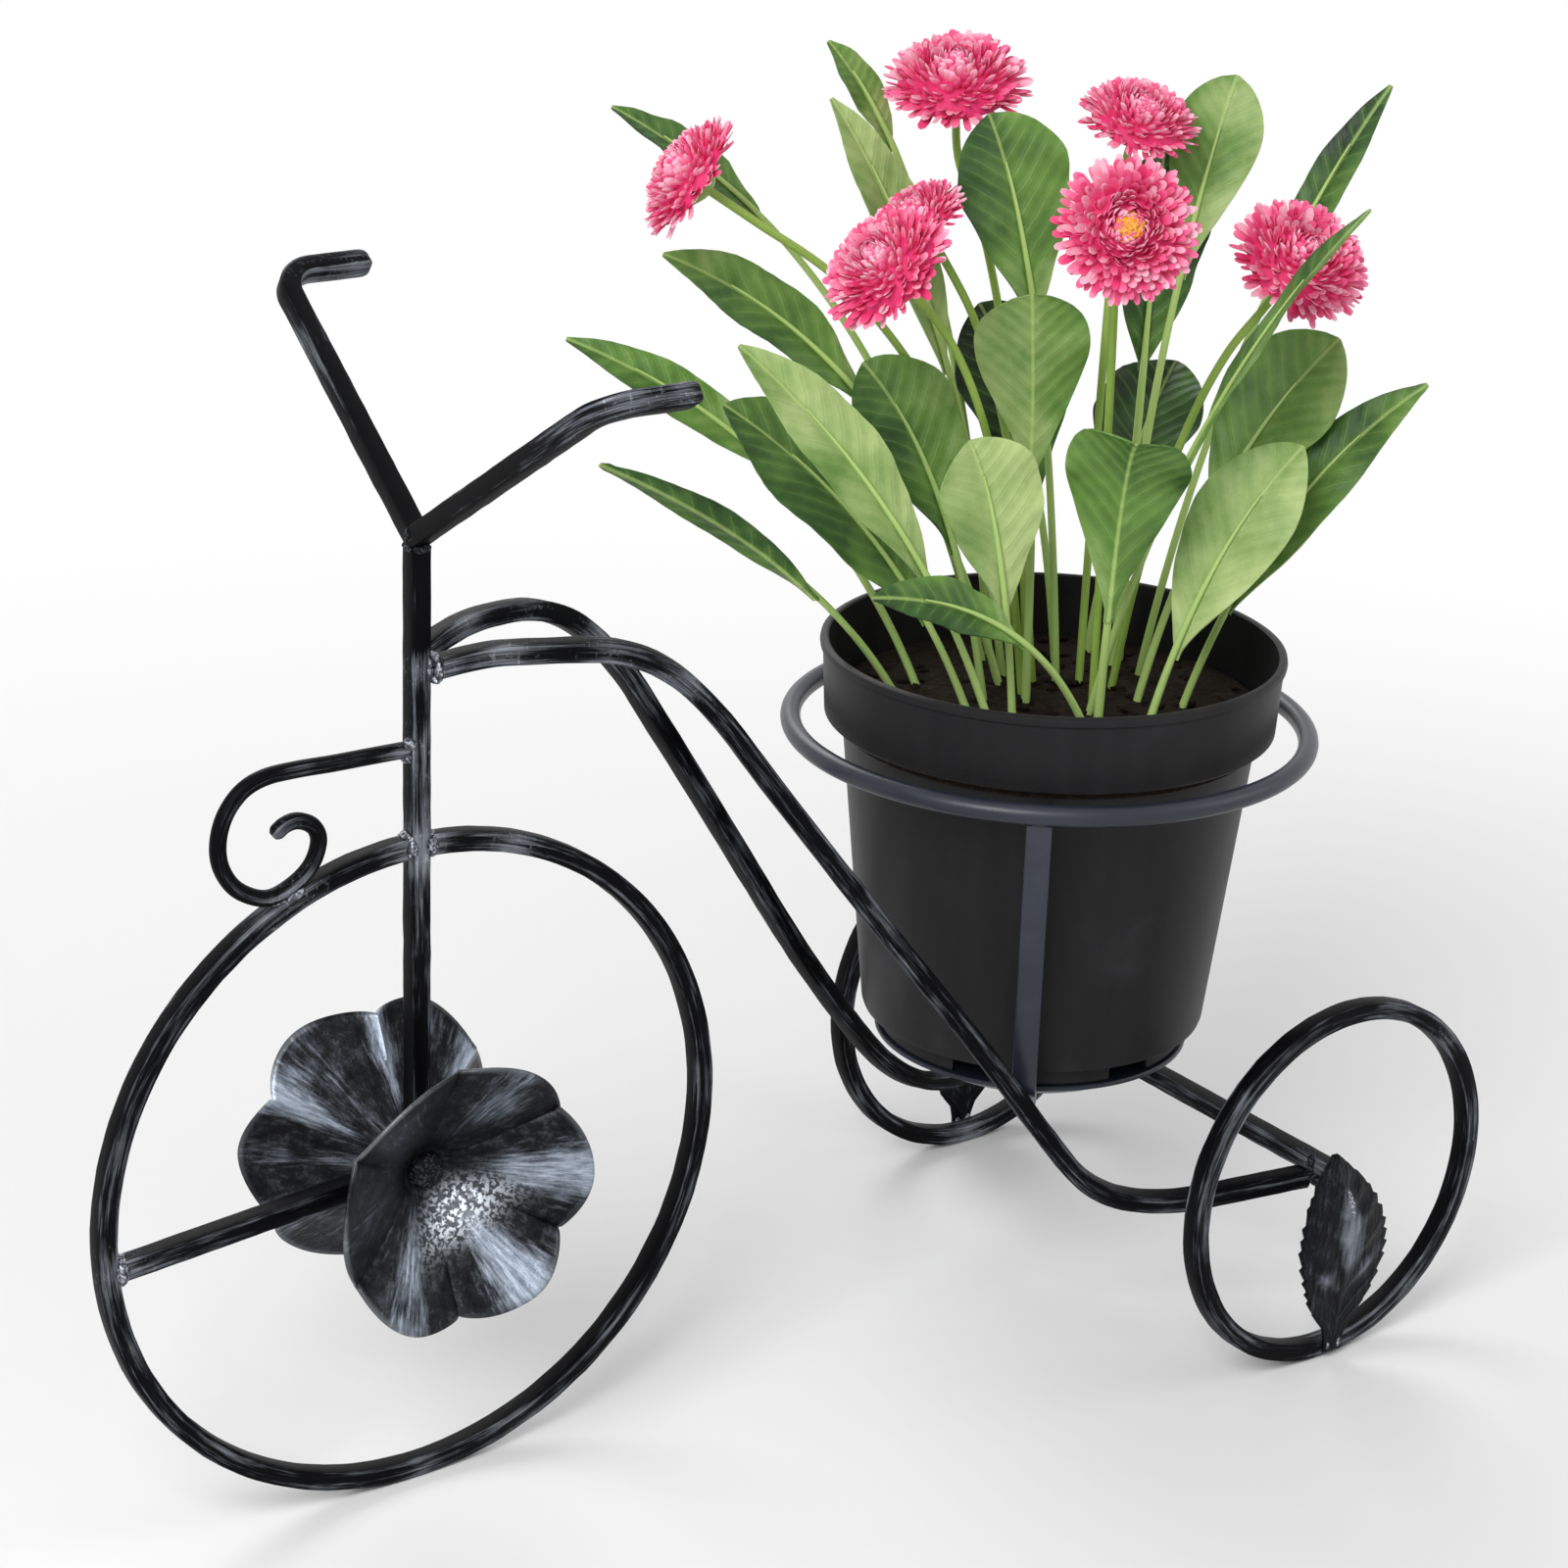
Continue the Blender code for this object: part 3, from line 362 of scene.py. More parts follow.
class Finish(Nodes):
    """A material. Its pieces ride on one body; the slot of the record that it is meant for is kept with it
    but not used.
    """

    def __init__(self, name, carrier, roughness, metallic=0.0, specular=0.5):
        self.body, self.slot = carrier
        self.material = bpy.data.materials.new(name)
        super().__init__(self.material)
        self.shader = self.tree.nodes["Principled BSDF"]
        self.set("Roughness", roughness)
        self.set("Metallic", metallic)
        self.set("Specular IOR Level", specular)

    def set(self, name, value):
        self.feed(self.shader.inputs[name], value)

    def place(self):
        return self.node("ShaderNodeTexCoord", {}).outputs["Object"]

    def uv(self):
        return self.node("ShaderNodeUVMap", {}, uv_map="UVMap").outputs["UV"]

    def uv_parts(self):
        split = self.node("ShaderNodeSeparateXYZ", {"Vector": self.uv()})
        return Value(self, split.outputs["X"]), Value(self, split.outputs["Y"])

    def attribute(self, name):
        return self.value("ShaderNodeAttribute", {}, "Fac", attribute_name=name)

    def noise(self, vector, scale, detail=3.0, roughness=0.55):
        inputs = {"Vector": vector, "Scale": scale, "Detail": detail, "Roughness": roughness}
        return self.value("ShaderNodeTexNoise", inputs, "Fac")

    def streaks(self, vector, scale, detail=3.0, roughness=0.55):
        """Noise that is drawn out: a larger scale in a direction makes it finer there."""
        drawn = self.node("ShaderNodeMapping", {"Vector": vector, "Scale": scale})
        return self.noise(drawn.outputs[0], 1.0, detail, roughness)

    def cells(self, vector, scale):
        return self.value("ShaderNodeTexVoronoi", {"Vector": vector, "Scale": scale}, "Distance")

    def mix(self, share, low, high):
        """A colour between two others: sockets 6 and 7 of a Mix node, whose result is output 2."""
        return self.value("ShaderNodeMix", {0: share, 6: low, 7: high}, 2, data_type="RGBA")

    def ramp(self, share, *stops):
        return self.value("ShaderNodeValToRGB", {"Fac": share}, stops=stops)

    def relief(self, height, distance, strength):
        inputs = {"Height": height, "Distance": distance, "Strength": strength}
        self.set("Normal", self.node("ShaderNodeBump", inputs).outputs[0])


# Finishes


def forged_bar_finish():
    """Black paint with silver dry-brushed along each bar, heavier on its corners and round the welds."""
    finish = Finish("forged_bar", iron, 0.38, specular=0.05)
    uv, place = finish.uv(), finish.place()
    streak = finish.streaks(uv, (26.0, 520.0, 1.0), 6.0, 0.62)
    fine = finish.streaks(uv, (90.0, 2100.0, 1.0), 4.0, 0.6)
    patch = finish.noise(place, 26.0)
    scratch = finish.rise(finish.streaks(place, (700.0, 700.0, 420.0), 4.0, 0.7), 0.56, 0.72)
    edge, flank, shine = map(finish.attribute, ("edge", "flank", "shine"))
    brushed = 0.62 * streak + 0.25 * fine + 0.42 * (patch - 0.5)
    silver = finish.rise(brushed + 0.05 * edge + 0.18 * shine + 0.10 * (flank**3 - 0.55), 0.49, 0.76)
    worn = finish.mix(silver, (0.0022, 0.0023, 0.0030), (0.27, 0.29, 0.33))
    bright = 0.30 * scratch * silver + 0.35 * shine * scratch
    finish.set("Base Color", finish.mix(bright, worn, (0.62, 0.66, 0.72)))
    finish.set("Metallic", 0.10 + 0.60 * silver)
    finish.set("Roughness", 0.38 + 0.16 * fine - 0.10 * silver)
    finish.relief(0.6 * fine + 0.4 * patch, 0.0004, 0.35)
    return finish


def weld_finish():
    """Bare weld, rippled, bright on its crests and sooty between them."""
    finish = Finish("weld_silver", iron, 0.30, 0.9)
    spot = finish.noise(finish.place(), 900.0, 4.0)
    soot, steel, crest = (0.012, 0.013, 0.016), (0.16, 0.17, 0.20), (0.74, 0.78, 0.84)
    finish.set("Base Color", finish.ramp(spot, (0.34, soot), (0.52, steel), (0.72, crest)))
    finish.set("Roughness", 0.22 + 0.3 * spot)
    finish.relief(spot, 0.0006, 0.7)
    return finish


def painted_weld_finish():
    """Weld beads under the black paint, a little silver left on their crests."""
    finish = Finish("weld_black", iron, 0.42, specular=0.10)
    spot = finish.noise(finish.place(), 800.0, 4.0)
    finish.set("Base Color", finish.ramp(spot, (0.50, (0.0034, 0.0036, 0.0044)), (0.76, (0.11, 0.12, 0.14))))
    finish.relief(spot, 0.0005, 0.6)
    return finish


def cup_finish():
    """Black sheet brushed with silver along the crown of each fold, with a stippled painted highlight patch
    on the near cup.
    """
    finish = Finish("cup_hammered", iron, 0.34, 0.85, 0.20)
    uv, place = finish.uv(), finish.place()
    brushed = finish.streaks(uv, (150.0, 5.0, 1.0), 5.0, 0.65)
    drawn = finish.streaks(uv, (46.0, 9.0, 1.0), 6.0, 0.75)
    fine = finish.noise(place, 1300.0, 3.0, 0.65)
    patch = finish.noise(place, 60.0, 2.0)
    stipple = finish.rise(finish.noise(place, 640.0, 3.0, 0.6), 0.45, 0.56)
    ridge, rubbed, lip = map(finish.attribute, ("ridge", "rubbed", "lip"))
    strokes = 0.85 * (brushed - 0.5) + 0.16 * (fine - 0.5) + 0.55 * (patch - 0.5)
    # The ridge attribute holds brushed silver. On the near cup it also holds painted highlight towards the
    # lower rear.
    silver = finish.rise(ridge + strokes, 0.34, 1.04)
    black, scale, grey = (0.0034, 0.0036, 0.0044), (0.0150, 0.0155, 0.0175), (0.070, 0.078, 0.095)
    sheet_tone = finish.ramp(drawn, (0.32, black), (0.52, scale), (0.72, grey))
    silver_tone = finish.ramp(brushed, (0.30, (0.22, 0.26, 0.33)), (0.62, (0.50, 0.57, 0.68)))
    edged = finish.mix(0.40 * lip, finish.mix(silver, sheet_tone, silver_tone), (0.34, 0.36, 0.38))
    # Painted highlight: a stippled patch of bright metal on the near cup's lower rear
    finish.set("Base Color", finish.mix(rubbed * (0.12 + 0.88 * stipple), edged, (0.78, 0.84, 0.92)))
    finish.set("Roughness", 0.24 + 0.20 * fine)
    hammered = 0.25 * fine + 0.35 * patch + 0.30 * brushed + 0.50 * drawn
    finish.relief(hammered + 0.9 * rubbed * stipple, 0.0012, 0.45)
    return finish


def iron_leaf_finish():
    """Dark slate iron, hammered and rubbed with silver, with a painted highlight as a soft bright spot down
    the middle of the leaf.
    """
    finish = Finish("iron_leaf", iron, 0.34, 0.80, 0.20)
    place = finish.place()
    across, along = finish.uv_parts()
    reach = 2 * across.size()
    fine = finish.noise(place, 1300.0, 3.0, 0.65)
    drawn = finish.streaks(place, (620.0, 620.0, 90.0), 4.0, 0.6)
    patch = finish.noise(place, 95.0)
    ridge = finish.attribute("ridge")
    veins = finish.rise((48.0 * (along - 0.20 * reach)).sine(), 0.35, 1.0) * finish.rise(reach, 1.0, 0.7)
    midrib = finish.rise(reach, 0.02, 0.13, 1.0, 0.0)
    # Painted highlight: a soft bright spot in the upper middle of the leaf, added to its silver
    middle_highlight = finish.rise((5.0 * (across - 0.06)) ** 2 + (4.2 * (along - 0.08)) ** 2, 1.0, 0.0)
    foot = finish.rise((22.0 * (across - 0.09)) ** 2 + (11.0 * (along - 0.23)) ** 2, 1.0, 0.2)
    rubbed = 0.80 * (drawn - 0.5) + 0.30 * (fine - 0.5) + 0.45 * (patch - 0.5)
    silver = finish.rise(1.10 * ridge + 0.42 * middle_highlight + 0.05 * veins + rubbed, 0.36, 1.20)
    iron_tone = finish.mix(silver, (0.0060, 0.0065, 0.0080), (0.27, 0.30, 0.36))
    spots = foot * finish.rise(fine, 0.47, 0.60)
    finish.set("Base Color", finish.mix(spots, iron_tone, (0.80, 0.83, 0.90)))
    finish.set("Roughness", 0.28 + 0.24 * fine)
    hammered = 0.12 * fine + 0.30 * patch + 0.26 * drawn
    finish.relief(1.5 * ridge + 0.16 * veins + 0.16 * midrib + hammered, 0.0020, 0.75)
    return finish


def slate_finish():
    """Slate blue-grey satin paint, a little uneven, paler where light catches its thin coat."""
    finish = Finish("holder_paint", ("stand", "holder_slate"), 0.34, specular=0.40)
    place = finish.place()
    cloud = finish.noise(place, 35.0)
    grain = finish.noise(place, 1500.0, 2.0)
    tone = 0.7 * cloud + 0.25 * finish.attribute("edge") + 0.15 * grain
    deep, slate, pale = (0.0085, 0.0105, 0.0170), (0.0165, 0.0205, 0.0330), (0.042, 0.050, 0.072)
    finish.set("Base Color", finish.ramp(tone, (0.2, deep), (0.6, slate), (1.0, pale)))
    finish.set("Roughness", 0.26 + 0.16 * cloud)
    finish.relief(grain, 0.0003, 0.25)
    return finish


def pot_finish():
    """Moulded black polypropylene: satin, faintly streaked down its sides, with a little dust."""
    finish = Finish("pot_plastic", ("potted_plant", "pot_black"), 0.40, specular=0.13)
    place = finish.place()
    flow = finish.streaks(place, (60.0, 60.0, 6.0))
    dust = finish.rise(finish.noise(place, 18.0, 4.0), 0.5, 0.8)
    tone = finish.mix(0.35 * dust + 0.25 * flow, (0.0070, 0.0067, 0.0075), (0.060, 0.057, 0.062))
    finish.set("Base Color", tone)
    finish.set("Roughness", 0.40 + 0.10 * flow + 0.08 * dust)
    finish.relief(finish.noise(place, 1800.0, 2.0), 0.0002, 0.3)
    return finish


def soil_finish():
    """Moist peat and bark."""
    finish = Finish("potting_soil", ("potted_plant", "soil_dark"), 0.95, specular=0.10)
    place = finish.place()
    grain = finish.noise(place, 420.0, 5.0, 0.7)
    wet, peat, bark = (0.004, 0.003, 0.002), (0.014, 0.009, 0.006), (0.060, 0.038, 0.022)
    finish.set("Base Color", finish.ramp(grain, (0.25, wet), (0.55, peat), (0.85, bark)))
    finish.relief(grain + finish.cells(place, 260.0), 0.0012, 0.8)
    return finish


def leaf_finish():
    """Green blade: paler midrib and side veins, darker between them, with soft pale patches. Its tone is
    partly its own green and partly painted shade, and one half of the blade is painted a little darker than
    the other as painted shade across its fold.
    """
    finish = Finish("leaf_green", ("potted_plant", "leaf_green"), 0.42, specular=0.28)
    across, along = finish.uv_parts()
    place = finish.place()
    cloud = finish.noise(place, 60.0, 4.0)
    fine = finish.noise(place, 900.0)
    blotch = finish.noise(place, 24.0, 2.0)
    reach = across.size()
    from_rib = reach * finish.attribute("half")
    midrib = finish.rise(from_rib, 0.0002, 0.0010, 1.0, 0.0)
    foot = finish.rise(along, 0.0, 0.55, 1.0, 0.0)
    wave = (veins_along * along - veins_aside * from_rib + 3.5 * cloud).sine()
    veins = finish.rise(wave, 0.72, 1.0) * finish.rise(reach, 1.0, 0.55)
    fold = finish.rise(wave, -1.0, 0.4)
    # The tone attribute carries each leaf's painted shade as well as its own green
    tissue = 0.58 * cloud + 0.60 * (blotch - 0.5) + 0.84 * finish.attribute("tone") + 0.08 * fine
    # Painted shade: 0.10 * across makes one half of each blade a little lighter than the other, as light
    # falls across its fold
    green = finish.ramp(
        tissue + 0.10 * across + 0.04 * (fold - 0.5) + 0.22 * foot - 0.22,
        (0.12, (0.006, 0.020, 0.005)),
        (0.36, (0.036, 0.096, 0.018)),
        (0.62, (0.130, 0.255, 0.050)),
        (1.00, (0.450, 0.570, 0.230)),
    )
    veined = finish.mix(0.16 * veins, green, (0.250, 0.420, 0.110))
    finish.set("Base Color", finish.mix(0.55 * midrib + 0.35 * midrib * foot, veined, (0.420, 0.590, 0.180)))
    finish.set("Roughness", 0.40 + 0.12 * fine)
    finish.relief(0.20 * veins + 0.24 * fold + 0.5 * midrib + 1.0 * cloud, 0.0010, 0.60)
    return finish


def stalk_finish():
    """Pale green stalks, faintly ribbed along their length, with fine hair."""
    finish = Finish("stalk_green", ("potted_plant", "stalk_green"), 0.50, specular=0.30)
    rib = finish.streaks(finish.uv(), (25.0, 900.0, 1.0))
    cloud = finish.noise(finish.place(), 45.0)
    deep, green, pale = (0.150, 0.270, 0.040), (0.300, 0.450, 0.085), (0.480, 0.600, 0.170)
    finish.set("Base Color", finish.ramp(0.5 * rib + 0.5 * cloud, (0.25, deep), (0.6, green), (0.9, pale)))
    finish.relief(rib, 0.0003, 0.4)
    return finish


def petal_finish():
    """Pink quills, each a little different: darker at the foot and paler to the tip, partly their own colour
    and partly painted shade deep in the bloom and painted highlight on the tips.
    """
    finish = Finish("petal_pink", bloom_slot, 0.55, specular=0.25)
    along = finish.uv_parts()[0]
    grain = finish.noise(finish.place(), 800.0)
    # The along term is partly painted: shade at the petals' feet deep in the bloom, highlight on their tips
    pink = finish.ramp(
        0.44 * along + 0.58 * finish.attribute("tone") + 0.16 * (grain - 0.5),
        (0.06, (0.480, 0.010, 0.100)),
        (0.34, (0.790, 0.050, 0.195)),
        (0.62, (0.930, 0.185, 0.375)),
        (0.92, (0.970, 0.570, 0.690)),
    )
    finish.set("Base Color", pink)
    finish.relief(grain, 0.0003, 0.3)
    return finish


def eye_finish():
    """The yellow eye of an open daisy."""
    finish = Finish("eye_yellow", bloom_slot, 0.6)
    spot = finish.cells(finish.place(), 900.0)
    yellow, orange, brown = (0.90, 0.50, 0.04), (0.80, 0.30, 0.03), (0.35, 0.10, 0.02)
    finish.set("Base Color", finish.ramp(spot, (0.0, yellow), (0.6, orange), (1.0, brown)))
    finish.relief(spot, 0.0005, 0.6)
    return finish


iron = ("stand", "forged_black_silver")
bloom_slot = ("potted_plant", "petal_pink")
forged_bar = forged_bar_finish()
weld_silver = weld_finish()
weld_black = painted_weld_finish()
cup_metal = cup_finish()
leaf_metal = iron_leaf_finish()
holder_paint = slate_finish()
pot_plastic = pot_finish()
potting_soil = soil_finish()
leaf_green = leaf_finish()
stalk_green = stalk_finish()
petal_pink = petal_finish()
eye_yellow = eye_finish()


# Shapes


def clamped(value):
    return min(1.0, max(0.0, value))


def around(angle, radius=1.0):
    """A point on a circle, from its angle."""
    return radius * Vector((math.cos(angle), math.sin(angle)))


def upright_ring(centre, radius, angle):
    """A point on a circle that stands along the planter, like a wheel."""
    return centre + radius * Vector((math.cos(angle), 0, math.sin(angle)))


def add_object(name, data):
    made = bpy.data.objects.new(name, data)
    bpy.context.scene.collection.objects.link(made)
    return made


def finished_mesh(name, bm):
    mesh = bpy.data.meshes.new(name)
    bm.to_mesh(mesh)
    bm.free()
    return mesh


def piece(name, bm, finish, *nodes, angle=40.0, wall=0.0):
    """One piece of the planter, which stands for the nodes that are named. A sheet gets its wall here."""
    mesh = finished_mesh(name, bm)
    mesh.materials.append(finish.material)
    mesh.shade_smooth()
    mesh.set_sharp_from_angle(angle=math.radians(angle))
    made = add_object(name, mesh)
    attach(made, finish.body)
    if nodes:
        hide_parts(*nodes)
    if wall:
        skin = made.modifiers.new("thickness", "SOLIDIFY")
        skin.thickness = wall
        skin.offset = 0.0
    return made


def map_corners(bm, coordinates):
    """Adds a UV map, whose coordinates for a face's corner come from its vertex and the face."""
    layer = bm.loops.layers.uv.new("UVMap")
    for face in bm.faces:
        for loop in face.loops:
            loop[layer].uv = coordinates(loop.vert, face)


def vertex_layers(bm, *names):
    return [bm.verts.layers.float.new(name) for name in names]


def smooth_route(points, steps):
    """A Catmull-Rom curve through the points, with the given steps in each span."""
    padded = [2 * points[0] - points[1], *points, 2 * points[-1] - points[-2]]
    route = []
    for a, b, c, d in zip(padded, padded[1:], padded[2:], padded[3:]):
        for i in range(steps):
            t = i / steps
            bow = (2 * a - 5 * b + 4 * c - d) + t * (3 * (b - c) + d - a)
            route.append(b + 0.5 * t * ((c - a) + t * bow))
    return [*route, points[-1]]


def bent_route(start, corner, end, radius):
    """Two straight runs joined by a bend of the given radius."""
    into = (start - corner).normalized()
    out = (end - corner).normalized()
    angle = into.angle(out)
    leg = radius / math.tan(angle / 2)
    centre = corner + (into + out).normalized() * (radius / math.sin(angle / 2))
    first = corner + into * leg - centre
    last = corner + out * leg - centre
    axis = first.cross(last).normalized()
    turn = first.angle(last)
    bend = [centre + Matrix.Rotation(turn * i / bend_steps, 3, axis) @ first for i in range(bend_steps + 1)]
    return [start, *bend, end]


def straight_route(start, end):
    count = max(2, round((end - start).length / bar_step))
    return [start.lerp(end, i / count) for i in range(count + 1)]


def frames_along(route, across, ends=None):
    """A frame at each point of the route, carried along without twist from the given side direction."""
    tangents = []
    for before, point, after in zip([route[0], *route], route, [*route[1:], route[-1]]):
        tangents.append(((after - point).normalized() + (point - before).normalized()).normalized())
    if ends:
        tangents[0] = tangents[-1] = ends
    side = (across - across.dot(tangents[0]) * tangents[0]).normalized()
    frames = []
    for point, tangent in zip(route, tangents):
        side = (side - side.dot(tangent) * tangent).normalized()
        up = tangent.cross(side)
        frames.append(Matrix.Translation(point) @ Matrix((side, up, tangent)).transposed().to_4x4())
    return frames


def cornered_section(width, height, corner, middles=False):
    """A flat or square bar's section with rounded corners, and a point in the middle of each face if asked.

    Each point of a section comes with how far it is a corner, from 0 to 1.
    """
    section = []
    for quarter, (sign_x, sign_y) in enumerate(((1, 1), (-1, 1), (-1, -1), (1, -1))):
        if middles:
            section.append((around(right_angle * quarter, width / 2), 0.0))
        middle = Vector((sign_x * (width / 2 - corner), sign_y * (height / 2 - corner)))
        section += [(middle + around(right_angle * (quarter + i / 2), corner), 1.0) for i in range(3)]
    return section


def round_section(radius, sides):
    return [(around(full_turn * i / sides, radius), 0.5) for i in range(sides)]


def extrude_through(bm, placed, corners):
    """Extrudes a face with the given corners from place to place, and gives the faces at its two ends."""
    first = cap = bm.faces.new([bm.verts.new(placed[0] @ corner.to_3d()) for corner in corners])
    for here, there in zip(placed, placed[1:]):
        grown = bmesh.ops.extrude_face_region(bm, geom=[cap])["geom"]
        if cap is not first:
            bmesh.ops.delete(bm, geom=[cap], context="FACES_ONLY")
        cap = next(item for item in grown if isinstance(item, bmesh.types.BMFace))
        bmesh.ops.transform(bm, matrix=there @ here.inverted(), verts=list(cap.verts))
    return first, cap


def grow_edge(bm):
    """Extrudes a sheet's open edge, and gives the vertices of the new one."""
    grown = bmesh.ops.extrude_edge_only(bm, edges=[edge for edge in bm.edges if edge.is_boundary])["geom"]
    return [item for item in grown if isinstance(item, bmesh.types.BMVert)]


def sweep(frames, section, sizes=(), closed=False, shines=(), dents=0.0):
    """A bar of the section, from frame to frame, with other sizes for its last sections.

    Its UV map holds the length along it and round it. The attribute edge says where its corners are, flank
    how near its side faces are, and shine how near one of the given welds is.
    """
    sizes = [*[1.0] * (len(frames) - len(sizes)), *sizes]
    placed = [at @ Matrix.Diagonal((size, size, 1.0, 1.0)) for at, size in zip(frames, sizes)]
    bm = bmesh.new()
    ends = extrude_through(bm, placed, [point for point, edge in section])
    if closed:
        bmesh.ops.delete(bm, geom=ends, context="FACES_ONLY")
    map_length(bm, frames, section)
    edge_layer, flank_layer, shine_layer = vertex_layers(bm, "edge", "flank", "shine")
    count = len(section)
    reach = max(point.x for point, edge in section)
    for vert in bm.verts:
        point, edge = section[vert.index % count]
        vert[edge_layer] = edge
        vert[flank_layer] = abs(point.x) / reach
        nearest = min(((vert.co - weld).length for weld in shines), default=shine_reach)
        vert[shine_layer] = max(0.0, 1 - nearest / shine_reach) ** 1.5
    for vert in bm.verts:
        spine = frames[vert.index // count].translation
        vert.co += (vert.co - spine).normalized() * dents * (noise.noise(vert.co * 140) - 0.8)
    if closed:
        bmesh.ops.remove_doubles(bm, verts=bm.verts, dist=0.0002)
    bmesh.ops.recalc_face_normals(bm, faces=bm.faces)
    return bm


def map_length(bm, frames, section):
    bm.verts.index_update()
    count = len(section)
    lengths = [0.0]
    for here, there in zip(frames, frames[1:]):
        lengths.append(lengths[-1] + (there.translation - here.translation).length)
    girth = [0.0]
    for (here, edge), (there, other) in zip(section, [*section[1:], section[0]]):
        girth.append(girth[-1] + (there - here).length)

    def coordinates(vert, face):
        corners = {other.index % count for other in face.verts}
        wraps = len(face.verts) == 4 and 0 in corners and count - 1 in corners
        step, corner = divmod(vert.index, count)
        return lengths[step], girth[count if wraps and corner == 0 else corner]

    map_corners(bm, coordinates)


def square_bar(route, across, shines, ends=None, sizes=(), closed=False):
    """A length of the stand's square bar, dented by the hammer."""
    section = cornered_section(bar, bar, bar_corner, middles=True)
    return sweep(frames_along(route, across, ends), section, sizes, closed, shines, bar_dents)


def trim(bm, point, outwards):
    """Cuts off what lies beyond a plane, and closes the cut."""
    geometry = [*bm.verts, *bm.edges, *bm.faces]
    cut = bmesh.ops.bisect_plane(
        bm, geom=geometry, dist=merge_distance, plane_co=point, plane_no=outwards, clear_outer=True
    )
    edges = [item for item in cut["geom_cut"] if isinstance(item, bmesh.types.BMEdge)]
    bmesh.ops.contextual_create(bm, geom=edges)


def sized(profile, radius, height):
    """An outline of shares of a radius and a height, at its size."""
    return [(radius * out, height * up) for out, up in profile]


def turned(profile, steps, place):
    """A body turned round an upright axis from an outline that ends on it or closes on itself."""
    bm = bmesh.new()
    points = [bm.verts.new((radius, 0, height)) for radius, height in profile]
    edges = [bm.edges.new(pair) for pair in zip(points, points[1:])]
    if profile[0][0] > 0 and profile[-1][0] > 0:
        edges.append(bm.edges.new((points[-1], points[0])))
    bmesh.ops.spin(bm, geom=[*points, *edges], axis=upwards, angle=full_turn, steps=steps, use_merge=True)
    bmesh.ops.remove_doubles(bm, verts=bm.verts, dist=merge_distance)
    bmesh.ops.recalc_face_normals(bm, faces=bm.faces)
    bmesh.ops.transform(bm, matrix=place, verts=bm.verts)
    return bm


def welds(name, beads, finish):
    """Beads of one joint group as one piece: rippled lumps of (place, radius, direction, stretch)."""
    bm = bmesh.new()
    for seed, (place, radius, direction, stretch) in enumerate(beads, len(name)):
        lump = bmesh.ops.create_icosphere(bm, subdivisions=3, radius=radius)["verts"]
        for vert in lump:
            vert.co *= 1 + 0.16 * noise.noise(vert.co / radius * 1.4 + Vector((seed, 3.7, 1.1)))
            vert.co.z *= stretch
        turn = direction.to_track_quat("Z", "Y").to_matrix().to_4x4()
        bmesh.ops.transform(bm, matrix=Matrix.Translation(place) @ turn, verts=lump)
    piece(name, bm, finish, angle=180.0)


# Stem, handlebar, spoke and axle


def leave_black(bm, begins, full):
    """Keeps the silver off a bar beyond a height: it fades from where it begins to where it is full."""
    layer = bm.verts.layers.float["shine"]
    for vert in bm.verts:
        vert[layer] -= 0.8 * clamped((vert.co.z - begins) / (full - begins))


def build_stem():
    low, high = Vector((front_x, 0, hub_height - stem_tail)), Vector((front_x, 0, stem_height))
    shines = [Vector((front_x, 0, z)) for z in (head_height, scroll_route()[0].z, hub_height + rim_reach)]
    bm = square_bar(straight_route(low, high), farwards, shines)
    leave_black(bm, head_height, head_height + stem_fade)
    piece("stem", bm, forged_bar, "stem_bar")


def build_handlebar(label, side):
    """One arm, mitred against its twin and seated on the stem."""
    foot = Vector((front_x, 0, stem_height + half_bar))
    corner = Vector((front_x + grip_sweep, side * grip_spread / 2, grip_height))
    tip = corner + Vector((grip_length, 0, 0))
    inner = foot - (corner - foot).normalized() * bar
    bends = bent_route(inner, corner, tip, grip_bend)
    nose = [tip - Vector((bar * share, 0, 0)) for share, size in grip_nose]
    route = [*straight_route(*bends[:2]), *bends[2:-1], *straight_route(bends[-2], nose[0])[1:-1], *nose]
    shines = [corner.lerp(tip, 0.25), corner.lerp(tip, 0.8)]
    bm = square_bar(route, rearwards, shines, sizes=[size for share, size in grip_nose])
    leave_black(bm, stem_height + arm_fade[0], stem_height + arm_fade[1])
    trim(bm, Vector((front_x, side * seat_gap / 2, 0)), -side * farwards)
    trim(bm, Vector((front_x, 0, stem_height + seat_gap)), -upwards)
    piece(f"handlebar_arm_{label}", bm, forged_bar, f"handlebar_{label}")


def spoke_end():
    return upright_ring(hub_centre, front_radius - bar - seat_gap, math.pi + spoke_drop)


def build_spoke():
    bm = square_bar(straight_route(hub_centre, spoke_end()), farwards, [spoke_end()])
    trim(bm, hub_centre - Vector((stem_face, 0, 0)), rearwards)
    piece("spoke", bm, forged_bar, "front_spoke")


def build_axle():
    end = half_track + half_bar + leaf_lift(leaf_axle_share) - leaf_relief
    near, far = (Vector((rear_x, y, axle_height)) for y in (-end, end))
    shines = [Vector((rear_x, side * half_track * 0.9, axle_height)) for side in (-1, 1)]
    piece("axle", square_bar(straight_route(near, far), rearwards, shines), forged_bar, "rear_axle")


# Wheels


